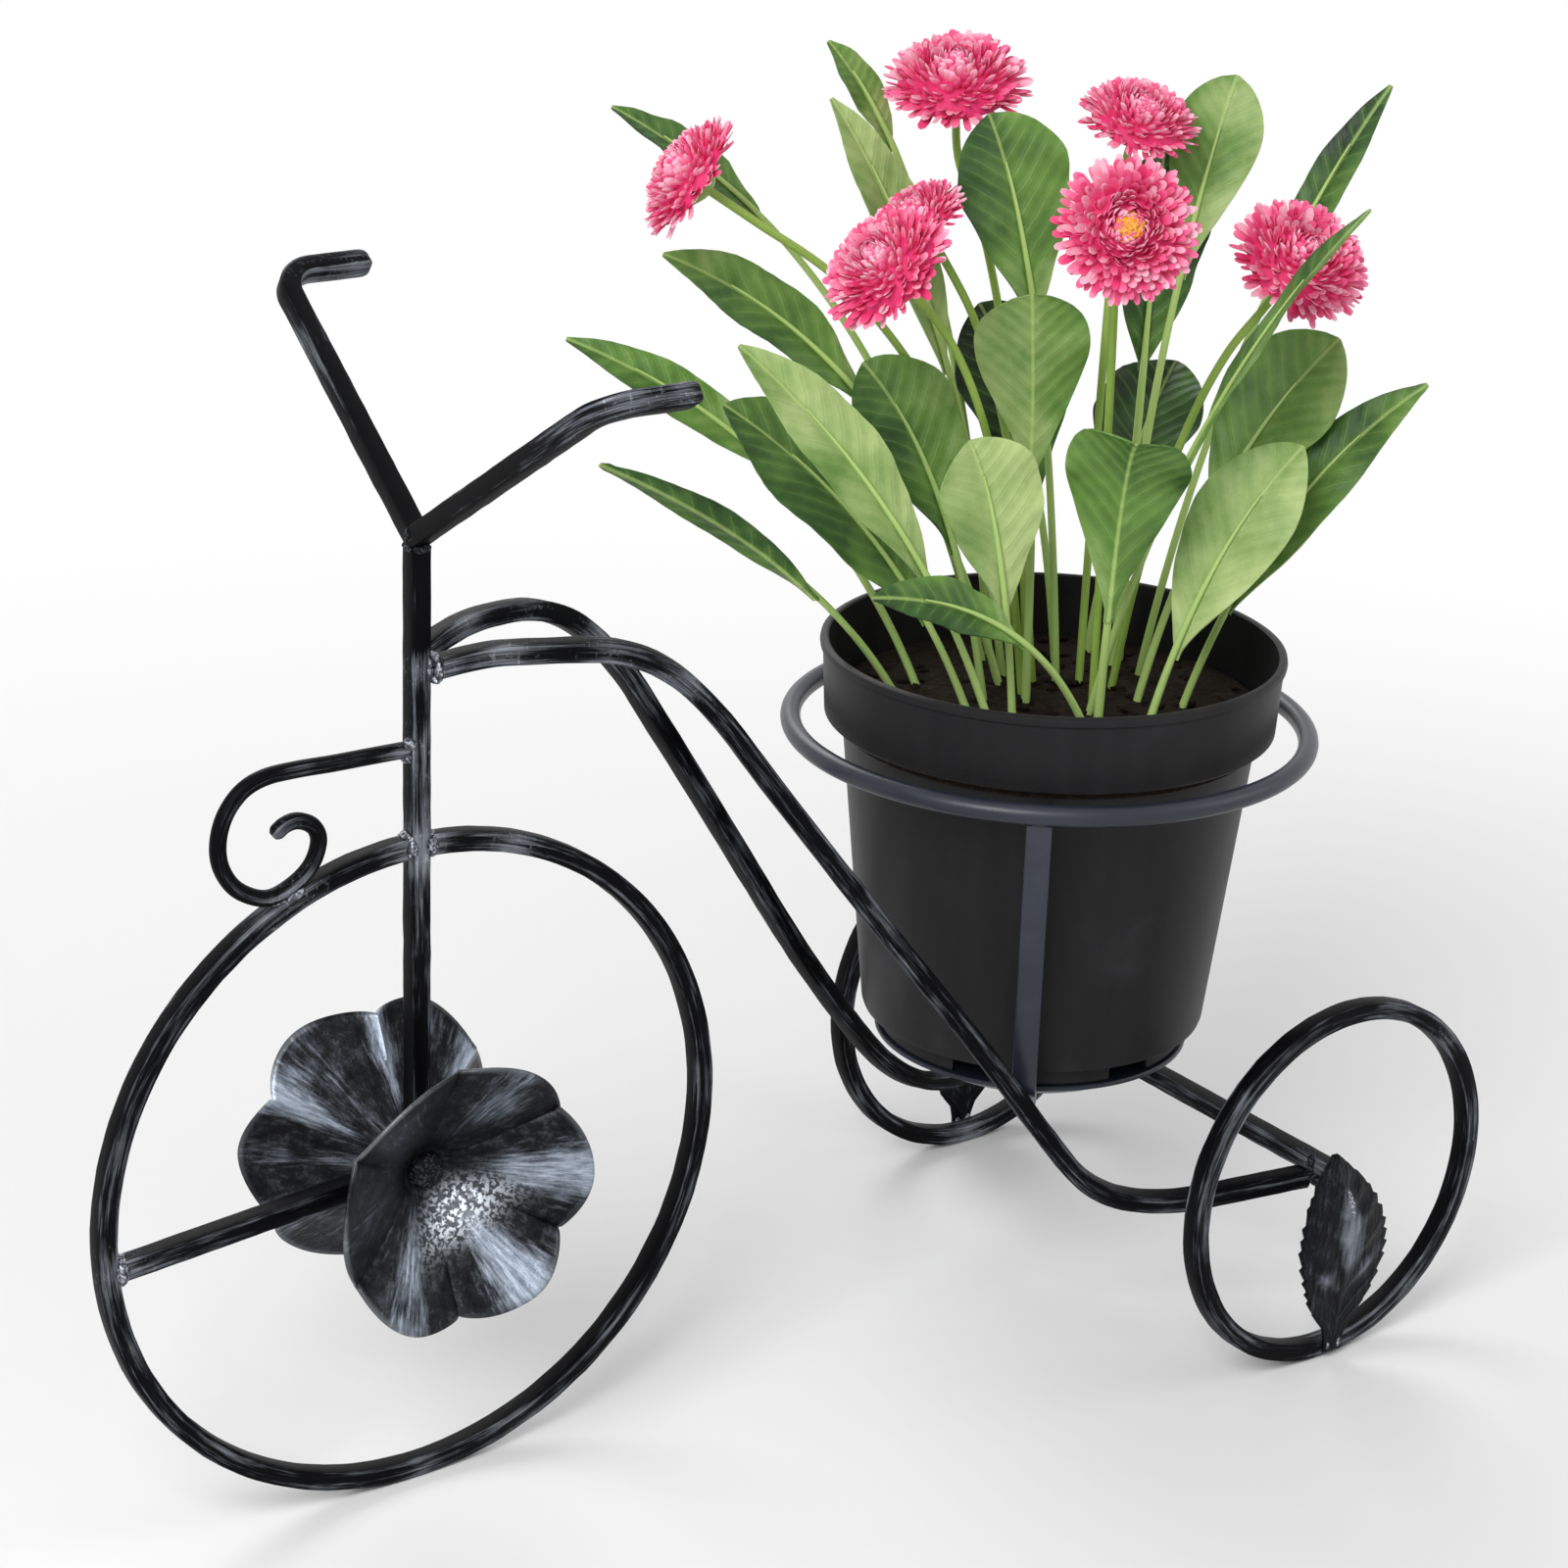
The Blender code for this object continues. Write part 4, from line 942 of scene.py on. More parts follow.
def build_front_rim():
    half_cut = math.asin(stem_face / rim_reach)
    start = half_cut - 1.5 * math.pi
    turn = full_turn - 2 * half_cut
    route = [upright_ring(hub_centre, rim_reach, start + turn * i / rim_steps) for i in range(rim_steps + 1)]
    touch = math.acos(-(stem_face + scroll_touch * scroll_reach) / front_radius)
    shines = [upright_ring(hub_centre, rim_reach, angle) for angle in (right_angle, touch, *rim_wear)]
    bm = square_bar(route, farwards, [*shines, spoke_end()], ends=-rearwards)
    piece("front_wheel_rim", bm, forged_bar, "front_rim")


def build_rear_rim(label, side):
    centre = Vector((rear_x, side * half_track, rear_radius))
    reach = rear_radius - half_bar
    angles = [full_turn * i / rear_rim_steps for i in range(rear_rim_steps + 1)]
    route = [upright_ring(centre, reach, angle) for angle in angles]
    shines = [centre - reach * upwards, centre + 0.7 * reach * (rearwards + upwards)]
    bm = square_bar(route, farwards, shines, ends=upwards, closed=True)
    piece(f"rear_wheel_rim_{label}", bm, forged_bar, f"rear_rim_{label}")


# Front hub


def hub_place(side, standoff):
    """Lays a shape that is built facing up on one face of the stem, facing outwards."""
    turn = Matrix.Rotation(-side * right_angle, 4, "X")
    return Matrix.Translation((front_x, side * (stem_face + standoff), hub_height)) @ turn


def flower_shape(share, angle):
    """Distance from the hub's axis and depth of a fluted cup at a share of its radius."""
    ridge = abs(math.cos(flower_lobes * angle / 2))
    flare = share**1.5
    radius = flower_floor + (flower_radius - flower_floor) * share
    radius *= 1 + flower_scallop * flare * (ridge - 0.5)
    return radius, flower_depth * share**0.85 + flower_ruffle * flare * (2 * ridge**flower_crease - 1)


def cup_wear(share, angle, side, wobble, at):
    """How much silver the brush left on a cup, and how bright its painted highlight patch is. On the near cup
    the silver is also painted brighter towards its lower rear, as a painted highlight.
    """
    crown = abs(math.cos(flower_lobes * angle / 2))
    if side > 0:
        return 0.22 + 0.70 * (1 - crown) ** 2 * min(1, 1.5 * share) + 0.15 * crown**8 + 0.25 * wobble, 0.0
    # Painted highlight: the near cup's lobes get more silver towards its lower rear, where light falls, and a
    # stippled bright patch is painted there
    lit_side = math.cos(angle + math.radians(35))
    silver = 0.16 + (0.44 + 0.30 * lit_side) * crown**2.5 * min(1, 2.2 * share)
    patch = Matrix.Rotation(glint_turn, 2) @ (at - Vector(glint_place))
    rubbed = math.exp(-((patch.x / glint_length) ** 2) - (patch.y / glint_width) ** 2)
    return silver + 0.25 * wobble, min(1.0, 1.25 * rubbed)


def build_hub_flower(label, side):
    """A fluted cup: deep folds run out from its floor and roll over at its frilled edge."""
    bm = bmesh.new()
    rings, segments = 22, 216
    bmesh.ops.create_circle(bm, cap_ends=True, cap_tris=True, segments=segments, radius=flower_floor)
    ridge_layer, glint_layer, lip_layer = vertex_layers(bm, "ridge", "rubbed", "lip")
    for vert in bm.verts:
        vert[ridge_layer] = 0.25
    for ring in range(1, rings + 1):
        share = ring / rings
        for vert in grow_edge(bm):
            angle = math.atan2(vert.co.y, vert.co.x)
            radius, depth = flower_shape(share, angle)
            wobble = noise.noise(Vector((math.cos(angle) * 2.3, math.sin(angle) * 2.3, side * 4 + share)))
            vert.co = around(angle, radius + 0.0010 * wobble * share).to_3d()
            vert.co.z = depth + 0.0016 * wobble * share
            # The first layer holds silver with the near cup's painted highlight. The second holds the painted
            # highlight patch.
            vert[ridge_layer], vert[glint_layer] = cup_wear(share, angle, side, wobble, vert.co.xy)
            vert[lip_layer] = (ring == rings) * clamped(0.45 + 1.4 * wobble)

    def turns_and_reach(vert, face):
        middle = face.calc_center_median()
        turns = math.atan2(vert.co.y, vert.co.x) / full_turn
        turns += round(math.atan2(middle.y, middle.x) / full_turn - turns)
        return turns, vert.co.xy.length / flower_radius

    map_corners(bm, turns_and_reach)
    bmesh.ops.transform(bm, matrix=hub_place(side, sheet / 2), verts=bm.verts)
    bmesh.ops.recalc_face_normals(bm, faces=bm.faces)
    piece(f"hub_cup_{label}", bm, cup_metal, f"hub_flower_{label}", angle=60.0, wall=sheet)


def build_hub_button(label, side):
    dome = [around(right_angle * i / button_steps) for i in range(1, button_steps)]
    profile = sized([(0, 0), (1, 0), *dome, (0, 1)], button_radius, button_height)
    bm = turned(profile, bloom_steps, hub_place(side, sheet + seat_gap))
    piece(f"hub_rivet_{label}", bm, weld_black, f"hub_button_{label}", angle=60.0)


# Fender scroll and frame rails


def scroll_route():
    """The scroll's centre line, resting on the top of the rim."""
    beyond = max(0.0, scroll_lean - half_bar)
    seat = front_radius + math.sqrt((scroll_rod / 2 + seat_gap) ** 2 - beyond**2)
    points = [
        Vector((front_x - stem_face - out * scroll_reach, -lean * scroll_lean, up * scroll_drop))
        for out, up, lean in scroll_shares
    ]
    route = smooth_route(points, route_steps)
    foot = hub_height + max(math.sqrt(seat**2 - (point.x - front_x) ** 2) - point.z for point in route)
    return [point + foot * upwards for point in route]


def scroll_seat():
    """Where the scroll touches the rim."""
    return min(scroll_route(), key=lambda point: (Vector((point.x, 0, point.z)) - hub_centre).length)


def build_scroll():
    route = scroll_route()
    shines = [route[0], scroll_seat(), route[-1]]
    section = round_section(scroll_rod / 2, scroll_sides)
    bm = sweep(frames_along(route, farwards), section, scroll_nose, shines=shines)
    trim(bm, Vector((front_x - stem_face, 0, 0)), rearwards)
    piece("scroll", bm, forged_bar, "fender_scroll")


def rail_route(side, steps=route_steps):
    points = [
        Vector((front_x + along * wheelbase, side * out * half_track, up * head_height))
        for along, out, up in rail_shares
    ]
    return smooth_route(points, steps)


def build_rail(label, side):
    route = rail_route(side)
    bm = square_bar(route, farwards, [route[0], route[-1], *route[10:40:10]])
    trim(bm, Vector((front_x + stem_face, 0, 0)), -rearwards)
    trim(bm, Vector((rear_x - half_bar - seat_gap, 0, 0)), rearwards)
    piece(f"rail_{label}", bm, forged_bar, f"frame_rail_{label}")


# Rear leaves


def leaf_lift(along):
    """How far the leaf's midrib stands off the face of the rim."""
    rise = clamped((along - 0.12) / 0.5)
    return seat_gap + leaf_arch * rise * rise * (3 - 2 * rise)


def leaf_station(along):
    """Half width share and drift share of the rear leaf between its stations."""
    low, high = next(pair for pair in zip(leaf_shares, leaf_shares[1:]) if along <= pair[1][0])
    share = (along - low[0]) / (high[0] - low[0])
    return [a + share * (b - a) for a, b in zip(low[1:], high[1:])]


def leaf_sink(across, along, half, body, side):
    """How deep the hammer set the leaf back round its midrib, its side veins and the two curls at its foot.

    It also gives how much silver the raised places catch.
    """
    reach = abs(across)
    rib = math.exp(-((reach * half / 0.16) ** 2))
    vein = 0.5 + 0.5 * math.cos(full_turn * (along * 7 - 1.3 * reach * half))
    curl = math.exp(-(((reach - 0.50) / 0.22) ** 2) - ((along - 0.33 - 0.10 * reach) / 0.050) ** 2)
    dent = clamped(0.5 + 0.7 * noise.noise(Vector((across * 2.4, along * 7, side * 3))))
    raised = min(1.0, 0.85 * rib + 0.9 * curl + 0.26 * vein * min(1, reach * 3))
    silver = 0.30 + body * (0.08 * rib + 0.03 * vein + 0.36 * curl)
    return leaf_relief * (0.75 * body * (1 - raised) + 0.25 * dent), silver


def build_rear_leaf(label, side):
    """A forged leaf: jagged edge, raised midrib, soft side veins and a curl on either side of its foot."""
    bm = bmesh.new()
    columns, rows = 32, 84
    bmesh.ops.create_grid(bm, x_segments=columns, y_segments=rows, size=1.0)
    (ridge_layer,) = vertex_layers(bm, "ridge")
    map_corners(bm, lambda vert, face: 0.5 * vert.co.xy)
    outer = half_track + half_bar + sheet
    for vert in bm.verts:
        across = vert.co.x
        along = (vert.co.y + 1) / 2
        half, drift = leaf_station(along)
        body = clamped((along - 0.15) * 8) * clamped((1 - along) * 12)
        saw = (along * 15 + 0.7 * noise.noise(Vector((along * 6, across, side)))) % 1.0
        tooth = 1 - 0.09 * body * (1 - saw) * max(0.0, abs(across) - 0.55) / 0.45
        sink, vert[ridge_layer] = leaf_sink(across, along, half, body, side)
        lift = leaf_lift(along) - leaf_curl * (across * half) ** 2 - sink
        crown = leaf_crown * max(0.0, along - 0.93) / 0.07 * (0.5 + 0.5 * math.cos(math.pi * across * 5))
        x = rear_x + leaf_width * (drift + across / 2 * half * tooth)
        z = bar - leaf_overlap + along * leaf_length - crown
        vert.co = Vector((x, side * (outer + max(lift, seat_gap)), z))
    if side > 0:
        bmesh.ops.reverse_faces(bm, faces=bm.faces)
    piece(f"iron_leaf_{label}", bm, leaf_metal, f"rear_leaf_{label}", angle=60.0, wall=sheet)


# Welds


def beads_at(at, *beads):
    """Weld beads round a joint: each is (offset from it, radius, direction, stretch)."""
    return [(at + Vector(offset), radius, direction, stretch) for offset, radius, direction, stretch in beads]


def build_stem_welds():
    """Beads of the handlebar, the rails, the scroll, the rim and the spoke."""
    beads = [((0, way * (half_bar - 0.0002), 0.0006), 0.0017, rearwards, 1.9) for way in (-1, 1)]
    beads += [((way * (half_bar - 0.0006), 0, 0.0004), 0.0012, farwards, 2.2) for way in (-1, 1)]
    beads += [((way * (half_bar - 0.0003), 0, 0.0050), 0.0009, upwards, 3.0) for way in (-1, 1)]
    welds("head_weld", beads_at(Vector((front_x, 0, stem_height)), *beads), weld_black)
    beads = []
    for side in (-1, 1):
        start = rail_route(side)[0]
        beads += beads_at(
            Vector((front_x + half_bar - 0.0001, side * (half_bar - 0.0010), start.z)),
            *[((0, 0, up), 0.0019, upwards, 1.9) for up in (-0.0020, 0.0018)],
        )
        beads += beads_at(
            Vector((front_x + half_bar, start.y, start.z)),
            ((0, 0, half_bar), 0.0016, farwards, 2.1),
            ((0, side * half_bar * 0.9, 0), 0.0017, upwards, 2.2),
            ((0, 0, -half_bar), 0.0015, farwards, 2.0),
        )
    welds("rail_weld", beads, weld_silver)
    beads = beads_at(
        Vector((front_x - half_bar, 0, scroll_route()[0].z)),
        ((0, 0, -0.0028), 0.0021, farwards, 1.3),
        ((0, -0.002, 0.0025), 0.0022, farwards, 1.2),
    )
    welds("scroll_foot_weld", beads, weld_silver)
    beads = []
    for way in (-1, 1):
        beads += beads_at(
            hub_centre + Vector((way * half_bar, 0, rim_reach)),
            *[((0, side * half_bar, 0), 0.0021, upwards, 1.7) for side in (-1, 1)],
            ((0, 0, half_bar), 0.0020, farwards, 1.8),
        )
    welds("rim_top_weld", beads, weld_silver)
    beads = beads_at(
        spoke_end(),
        ((0, -half_bar, 0), 0.0023, upwards, 1.8),
        ((0, half_bar, 0), 0.0021, upwards, 1.7),
        ((0.0008, 0, half_bar), 0.0020, farwards, 1.8),
    )
    welds("spoke_weld", beads, weld_silver)


def build_rim_welds():
    """Beads of the scroll on the front rim, of the rails on the axle and of the leaves on the rear rims."""
    seat = scroll_seat()
    outwards = (seat - Vector((front_x, seat.y, hub_height))).normalized()
    tangent = Vector((outwards.z, 0, -outwards.x))
    beads = beads_at(
        seat - outwards * (scroll_rod / 2),
        (tangent * 0.0022 - farwards * 0.0012, 0.0019, tangent, 1.9),
        (-tangent * 0.0026 + farwards * 0.0008, 0.0017, tangent, 1.9),
    )
    welds("scroll_seat_weld", beads, weld_silver)
    axle, leaf = [], []
    for side in (-1, 1):
        axle += beads_at(
            Vector((rear_x - half_bar, rail_route(side)[-1].y, axle_height)),
            ((0, -side * half_bar, half_bar * 0.5), 0.0016, upwards, 1.9),
            ((0, -side * half_bar, -half_bar * 0.5), 0.0015, upwards, 1.9),
            ((-0.0004, 0, -half_bar - 0.0002), 0.0022, farwards, 1.7),
        )
        leaf += beads_at(
            Vector((rear_x, side * (half_track + half_bar + sheet * 0.7), 0.0055)),
            ((0.0042, 0, 0), 0.0016, upwards, 1.8),
            ((-0.0012, 0, 0), 0.0015, upwards, 1.7),
        )
    welds("axle_weld", axle, weld_black)
    welds("leaf_weld", leaf, weld_silver)


# Holder


def build_ring():
    centre = holder_axis + ring_height * upwards
    route = [centre + around(full_turn * i / rim_steps, ring_radius).to_3d() for i in range(rim_steps + 1)]
    bm = sweep(frames_along(route, upwards, farwards), round_section(ring_rod / 2, ring_sides), closed=True)
    piece("ring", bm, holder_paint, "holder_ring")


def dish_under(radius):
    """Height of the underside of the dish at a distance from its axis."""
    sphere = (dish_radius**2 + dish_depth**2) / (2 * dish_depth)
    return pot_seat_height - seat_gap - dish_depth + sphere - math.sqrt(sphere**2 - radius**2)


def build_dish():
    rim = pot_seat_height - seat_gap
    steps = 16
    inner = dish_radius - dish_flange
    under = [(dish_radius * i / steps, dish_under(dish_radius * i / steps)) for i in range(steps)]
    over = [(inner * i / steps, dish_under(inner * i / steps) + dish_sheet) for i in range(steps + 1)]
    lip = dish_sheet / 3
    edge = [(dish_radius, rim - dish_sheet), (dish_radius, rim - lip), (dish_radius - lip, rim)]
    profile = [*under, *edge, (inner + lip, rim), (inner, rim - lip), *reversed(over)]
    piece("dish", turned(profile, turned_steps, Matrix.Translation(holder_axis)), holder_paint, "holder_dish")


def cradle_route():
    """The strap's centre line, from the ring down under the dish and up again, and its way out."""
    route = rail_route(-1, 2)
    above, below = next(pair for pair in zip(route, route[1:]) if pair[0].z >= strap_foot_height > pair[1].z)
    weld = above.lerp(below, (above.z - strap_foot_height) / (above.z - below.z)) - holder_axis
    out = around(math.atan2(weld.y, weld.x)).to_3d()
    low = dish_under(0) - seat_gap - strap_sheet / 2
    high = ring_height - ring_rod / 2 - seat_gap
    foot_share, foot_up = strap_shares[-1]
    tuck = (weld.to_2d().length - rail_standoff) / (ring_radius * foot_share) - 1
    half = []
    for share, up in strap_shares:
        reach = ring_radius * share * (1 + tuck * (1 - up) / (1 - foot_up))
        half.append(holder_axis + out * reach + (low + (high - low) * up) * upwards)
    for share in strap_under_shares:
        reach = ring_radius * share * (1 + tuck)
        half.append(holder_axis + out * reach + (dish_under(reach) - strap_sheet) * upwards)
    to_axis = Matrix.Translation(-holder_axis)
    turn = to_axis.inverted() @ Matrix.Rotation(math.pi, 4, "Z") @ to_axis
    points = [*half, holder_axis + low * upwards, *[turn @ point for point in reversed(half)]]
    return out, smooth_route(points, strap_steps)


def build_cradle():
    out, route = cradle_route()
    across = Vector((-out.y, out.x, 0))
    bm = sweep(frames_along(route, across), cornered_section(strap_width, strap_sheet, strap_corner))
    piece("cradle", bm, holder_paint, "holder_cradle")
    beads = [(end + 0.0005 * upwards, 0.0020, across, 2.4) for end in (route[0], route[-1])]
    welds("cradle_weld", beads, holder_paint)


# Pot and soil


def build_pot():
    """A nursery pot: rolled rim, deep collar, tapered body with a faint step, and a notched foot."""
    floor = foot_height
    shoulder = pot_height - collar_height
    rim_in = pot_rim_radius - 2 * pot_wall
    foot = [(0.0, floor), (foot_inner, floor), (foot_inner, 0.0004), (foot_inner + 0.0004, 0.0)]
    foot += [(foot_outer - 0.0006, 0.0), (foot_outer, 0.0006), (foot_outer, floor)]
    body = [
        (body_low_radius - 0.0022, floor),
        (body_low_radius - 0.0006, floor + 0.0008),
        (body_low_radius, floor + 0.0026),
        (body_top_radius - 0.0004, shoulder - 0.0040),
        (body_top_radius, shoulder - 0.0022),
        (body_top_radius + 0.0008, shoulder - 0.0008),
        (collar_radius - 0.0012, shoulder - 0.0001),
        (collar_radius, shoulder + 0.0009),
    ]
    rim = [
        (pot_rim_radius - 0.0012, pot_height - 0.0040),
        (pot_rim_radius - 0.0002, pot_height - 0.0032),
        (pot_rim_radius, pot_height - 0.0020),
        (pot_rim_radius - 0.0003, pot_height - 0.0006),
        (pot_rim_radius - 0.0012, pot_height),
        (rim_in + 0.0006, pot_height),
        (rim_in, pot_height - 0.0006),
    ]
    inside = [
        (collar_radius - pot_wall, shoulder + pot_wall),
        (body_top_radius - pot_wall, shoulder - pot_wall / 2),
        (body_low_radius - pot_wall, floor + 2 * pot_wall),
        (body_low_radius - 2 * pot_wall, floor + pot_wall),
        (0.0, floor + pot_wall),
    ]
    seat = Matrix.Translation(holder_axis + pot_seat_height * upwards)
    bm = turned([*foot, *body, *rim, *inside], turned_steps, seat)
    made = piece("nursery_pot", bm, pot_plastic, "pot", angle=35.0)
    bm = bmesh.new()
    middle = Matrix.Translation(((foot_inner + foot_outer) / 2, 0, 0))
    size = Matrix.Diagonal((foot_outer - foot_inner + 0.005, foot_notch, 2 * floor, 1.0))
    for i in range(foot_count):
        turn = Matrix.Rotation(full_turn * (i + 0.5) / foot_count, 4, "Z")
        bmesh.ops.create_cube(bm, size=1.0, matrix=seat @ turn @ middle @ size)
    notches = add_object("notches", finished_mesh("notches", bm))
    cut = made.modifiers.new("notches", "BOOLEAN")
    cut.operation = "DIFFERENCE"
    cut.object = notches
    graph = bpy.context.evaluated_depsgraph_get()
    notched = bpy.data.meshes.new_from_object(made.evaluated_get(graph))
    made.modifiers.clear()
    made.data = notched
    bpy.data.objects.remove(notches)


def build_soil():
    """Crumbly compost: a domed top with lumps, and loose bark on it."""
    bm = bmesh.new()
    radius = pot_rim_radius - pot_wall - soil_margin
    rings, segments = 40, 96
    bmesh.ops.create_circle(bm, cap_ends=True, segments=segments, radius=0.002)
    for ring in range(1, rings + 1):
        for vert in grow_edge(bm):
            vert.co = vert.co.normalized() * radius * ring / rings
    skirt = set(grow_edge(bm))
    for vert in bm.verts:
        if vert in skirt:
            vert.co.z -= 0.010
        else:
            share = vert.co.xy.length / radius
            rough = noise.fractal(vert.co * 90 + Vector((2, 5, 1)), 1.0, 2.1, 4)
            vert.co.z = 0.0010 - 0.0016 * share**6 + 0.0016 * rough * (1 - share**8)
    bmesh.ops.translate(bm, verts=bm.verts, vec=holder_axis + (soil_top - 0.0004) * upwards)
    draw = random.Random(soil_draw)
    places = []
    for _ in range(loose_lumps):
        angle = draw.uniform(0, full_turn)
        reach = radius * 0.93 * math.sqrt(draw.random())
        places.append(holder_axis + around(angle, reach).to_3d() + (soil_top + 0.0004) * upwards)
    for row in [*plant_leaves, *daisies]:
        for _ in range(root_lumps):
            beside = around(draw.uniform(0, full_turn), 0.0028).to_3d()
            places.append(root_of(row) + beside + 0.0006 * upwards)
    size = Matrix.Diagonal((1.5, 0.9, 0.6, 1.0))
    for place in places:
        lump = bmesh.ops.create_icosphere(bm, subdivisions=1, radius=draw.uniform(0.0010, 0.0026))["verts"]
        turn = Matrix.Rotation(draw.uniform(0, math.pi), 4, "Z") @ Matrix.Rotation(draw.uniform(0, 1), 4, "X")
        bmesh.ops.transform(bm, matrix=Matrix.Translation(place) @ turn @ size, verts=lump)
    piece("compost", bm, potting_soil, "soil", angle=50.0)


# Plant


def plant_place(side, depth, height):
    turn = Matrix.Rotation(plant_turn, 4, "Z")
    return holder_axis + (soil_top + seat_gap) * upwards + turn @ Vector((side, depth, height))


def root_of(row):
    side, depth = row[1:3]
    return plant_place(side * root_circle_radius, depth * root_circle_radius, 0)


def tip_of(row):
    side, depth, height = row[3:6]
    return plant_place(side * plant_half_width, depth * plant_half_width, height * plant_height)


def arc_route(root, tip, upright, steps):
    """A stalk's route: it leaves the soil as upright as told and bends over to its tip."""
    reach = tip - root
    rise = knee_rise + knee_upright * upright
    knee = root + Vector((reach.x * knee_reach, reach.y * knee_reach, reach.z * rise))
    shares = [i / steps for i in range(steps + 1)]
    return [(1 - t) ** 2 * root + 2 * t * (1 - t) * knee + t * t * tip for t in shares]


def blade_width(share, widest):
    """Half width share along a blade. One that is widest near its tip has a rounded tip."""
    if not 0 < share < 1:
        return 0.0
    return math.sin(math.pi * share ** (math.log(0.5) / math.log(widest))) ** (blade_point - widest)


def twisted_frames(root, tip, blade, twist, upright):
    """Frames from the root of a leaf to its tip, with the blade's twist eased in."""
    frames = frames_along(arc_route(root, tip, upright, leaf_steps), (tip - root).cross(upwards))
    twisted = []
    for i, at in enumerate(frames):
        share = (i / leaf_steps - (1 - blade)) / blade
        ease = min(max(share + 0.3, 0) / 0.6, 1)
        twisted.append(at @ Matrix.Rotation(full_turn * twist * ease, 4, "Z"))
    return twisted


def build_plant_leaf(index, row):
    """A blade with a sunken midrib and waved edges, on a channelled petiole that runs on as its rib."""
    name, blade, width, twist, upright, widest, tone = row[0], *row[6:]
    frames = twisted_frames(root_of(row), tip_of(row), blade, twist, upright)
    rows = round(leaf_steps * blade)
    first = leaf_steps - rows
    bm = bmesh.new()
    bmesh.ops.create_grid(bm, x_segments=leaf_columns, y_segments=rows, size=1.0)
    map_corners(bm, lambda vert, face: (vert.co.x, (vert.co.y + 1) / 2))
    draw = random.Random(leaf_draw + index)
    phase = draw.uniform(0, full_turn)
    waves = draw.uniform(2.2, 3.6)
    ripple = draw.uniform(0.06, 0.12)
    (half_layer,) = vertex_layers(bm, "half")
    for vert in bm.verts:
        across = vert.co.x
        along = (vert.co.y + 1) / 2
        reach = abs(across)
        half = max(petiole / 2, width * plant_half_width * blade_width(along, widest))
        if along > 0.999:
            half = petiole * 0.2
        wave = ripple * half * reach**2 * math.sin(full_turn * waves * along + phase + (across > 0) * 1.3)
        fold = math.sin(veins_along * along - veins_aside * reach * half)
        quilt = 0.0002 * fold * min(1, half / 0.012) * reach**0.5
        rib = 0.0008 * math.exp(-((across * half / 0.0022) ** 2))
        lift = wave + quilt - blade_fold * max(0.0, half - petiole / 2) * reach**0.85 + rib
        vert.co = frames[first + round(along * rows)] @ Vector((across * half, lift, 0))
        vert[half_layer] = half
    bmesh.ops.recalc_face_normals(bm, faces=bm.faces)
    (tone_layer,) = vertex_layers(bm, "tone")
    bmesh.ops.solidify(bm, geom=list(bm.faces), thickness=blade_thickness)
    add_petiole(bm, frames[: first + max(2, rows * 3 // 4)], first)
    # Each leaf's tone, partly its own green and partly painted shade
    for vert in bm.verts:
        vert[tone_layer] = tone
    trim(bm, soil_top * upwards, -upwards)
    bmesh.ops.recalc_face_normals(bm, faces=bm.faces)
    piece("green_" + name, bm, leaf_green, name, angle=70.0)


def add_petiole(bm, frames, blade_start):
    """The petiole, and the rib that it becomes under the blade."""
    placed = []
    for i, at in enumerate(frames):
        radius = petiole / 2 * (1.15 - 0.25 * min(1, i / max(blade_start, 1)))
        if i > blade_start:
            radius *= 1 - 0.75 * (i - blade_start) / (len(frames) - blade_start)
        sunk = Matrix.Translation((0, -radius * 0.35, 0))
        placed.append(at @ sunk @ Matrix.Diagonal((radius, radius * 0.85, 1.0, 1.0)))
    extrude_through(bm, placed, [around(full_turn * i / petiole_sides) for i in range(petiole_sides)])


def petal_mesh():
    """One quilled petal of unit length, rolled at its sides and opening to a blunt tip."""
    bm = bmesh.new()
    shape = ((0.0, 0.34, 0.26), (0.30, 0.66, 0.34), (0.66, 1.0, 0.30), (0.90, 0.92, 0.22), (1.0, 0.42, 0.12))
    corners = [Vector(corner) for corner in ((1, 0.5), (0.45, -0.35), (-0.45, -0.35), (-1, 0.5), (0, 0.1))]
    lengthwise = Matrix(((1, 0, 0, 0), (0, 0, 1, 0), (0, 1, 0, 0), (0, 0, 0, 1)))
    placed = [
        lengthwise @ Matrix.Translation((0, 0, along)) @ Matrix.Diagonal((width, depth, 1, 1))
        for along, width, depth in shape
    ]
    extrude_through(bm, placed, corners)
    map_corners(bm, lambda vert, face: (vert.co.y, vert.co.x))
    bmesh.ops.recalc_face_normals(bm, faces=bm.faces)
    return finished_mesh("petal", bm)


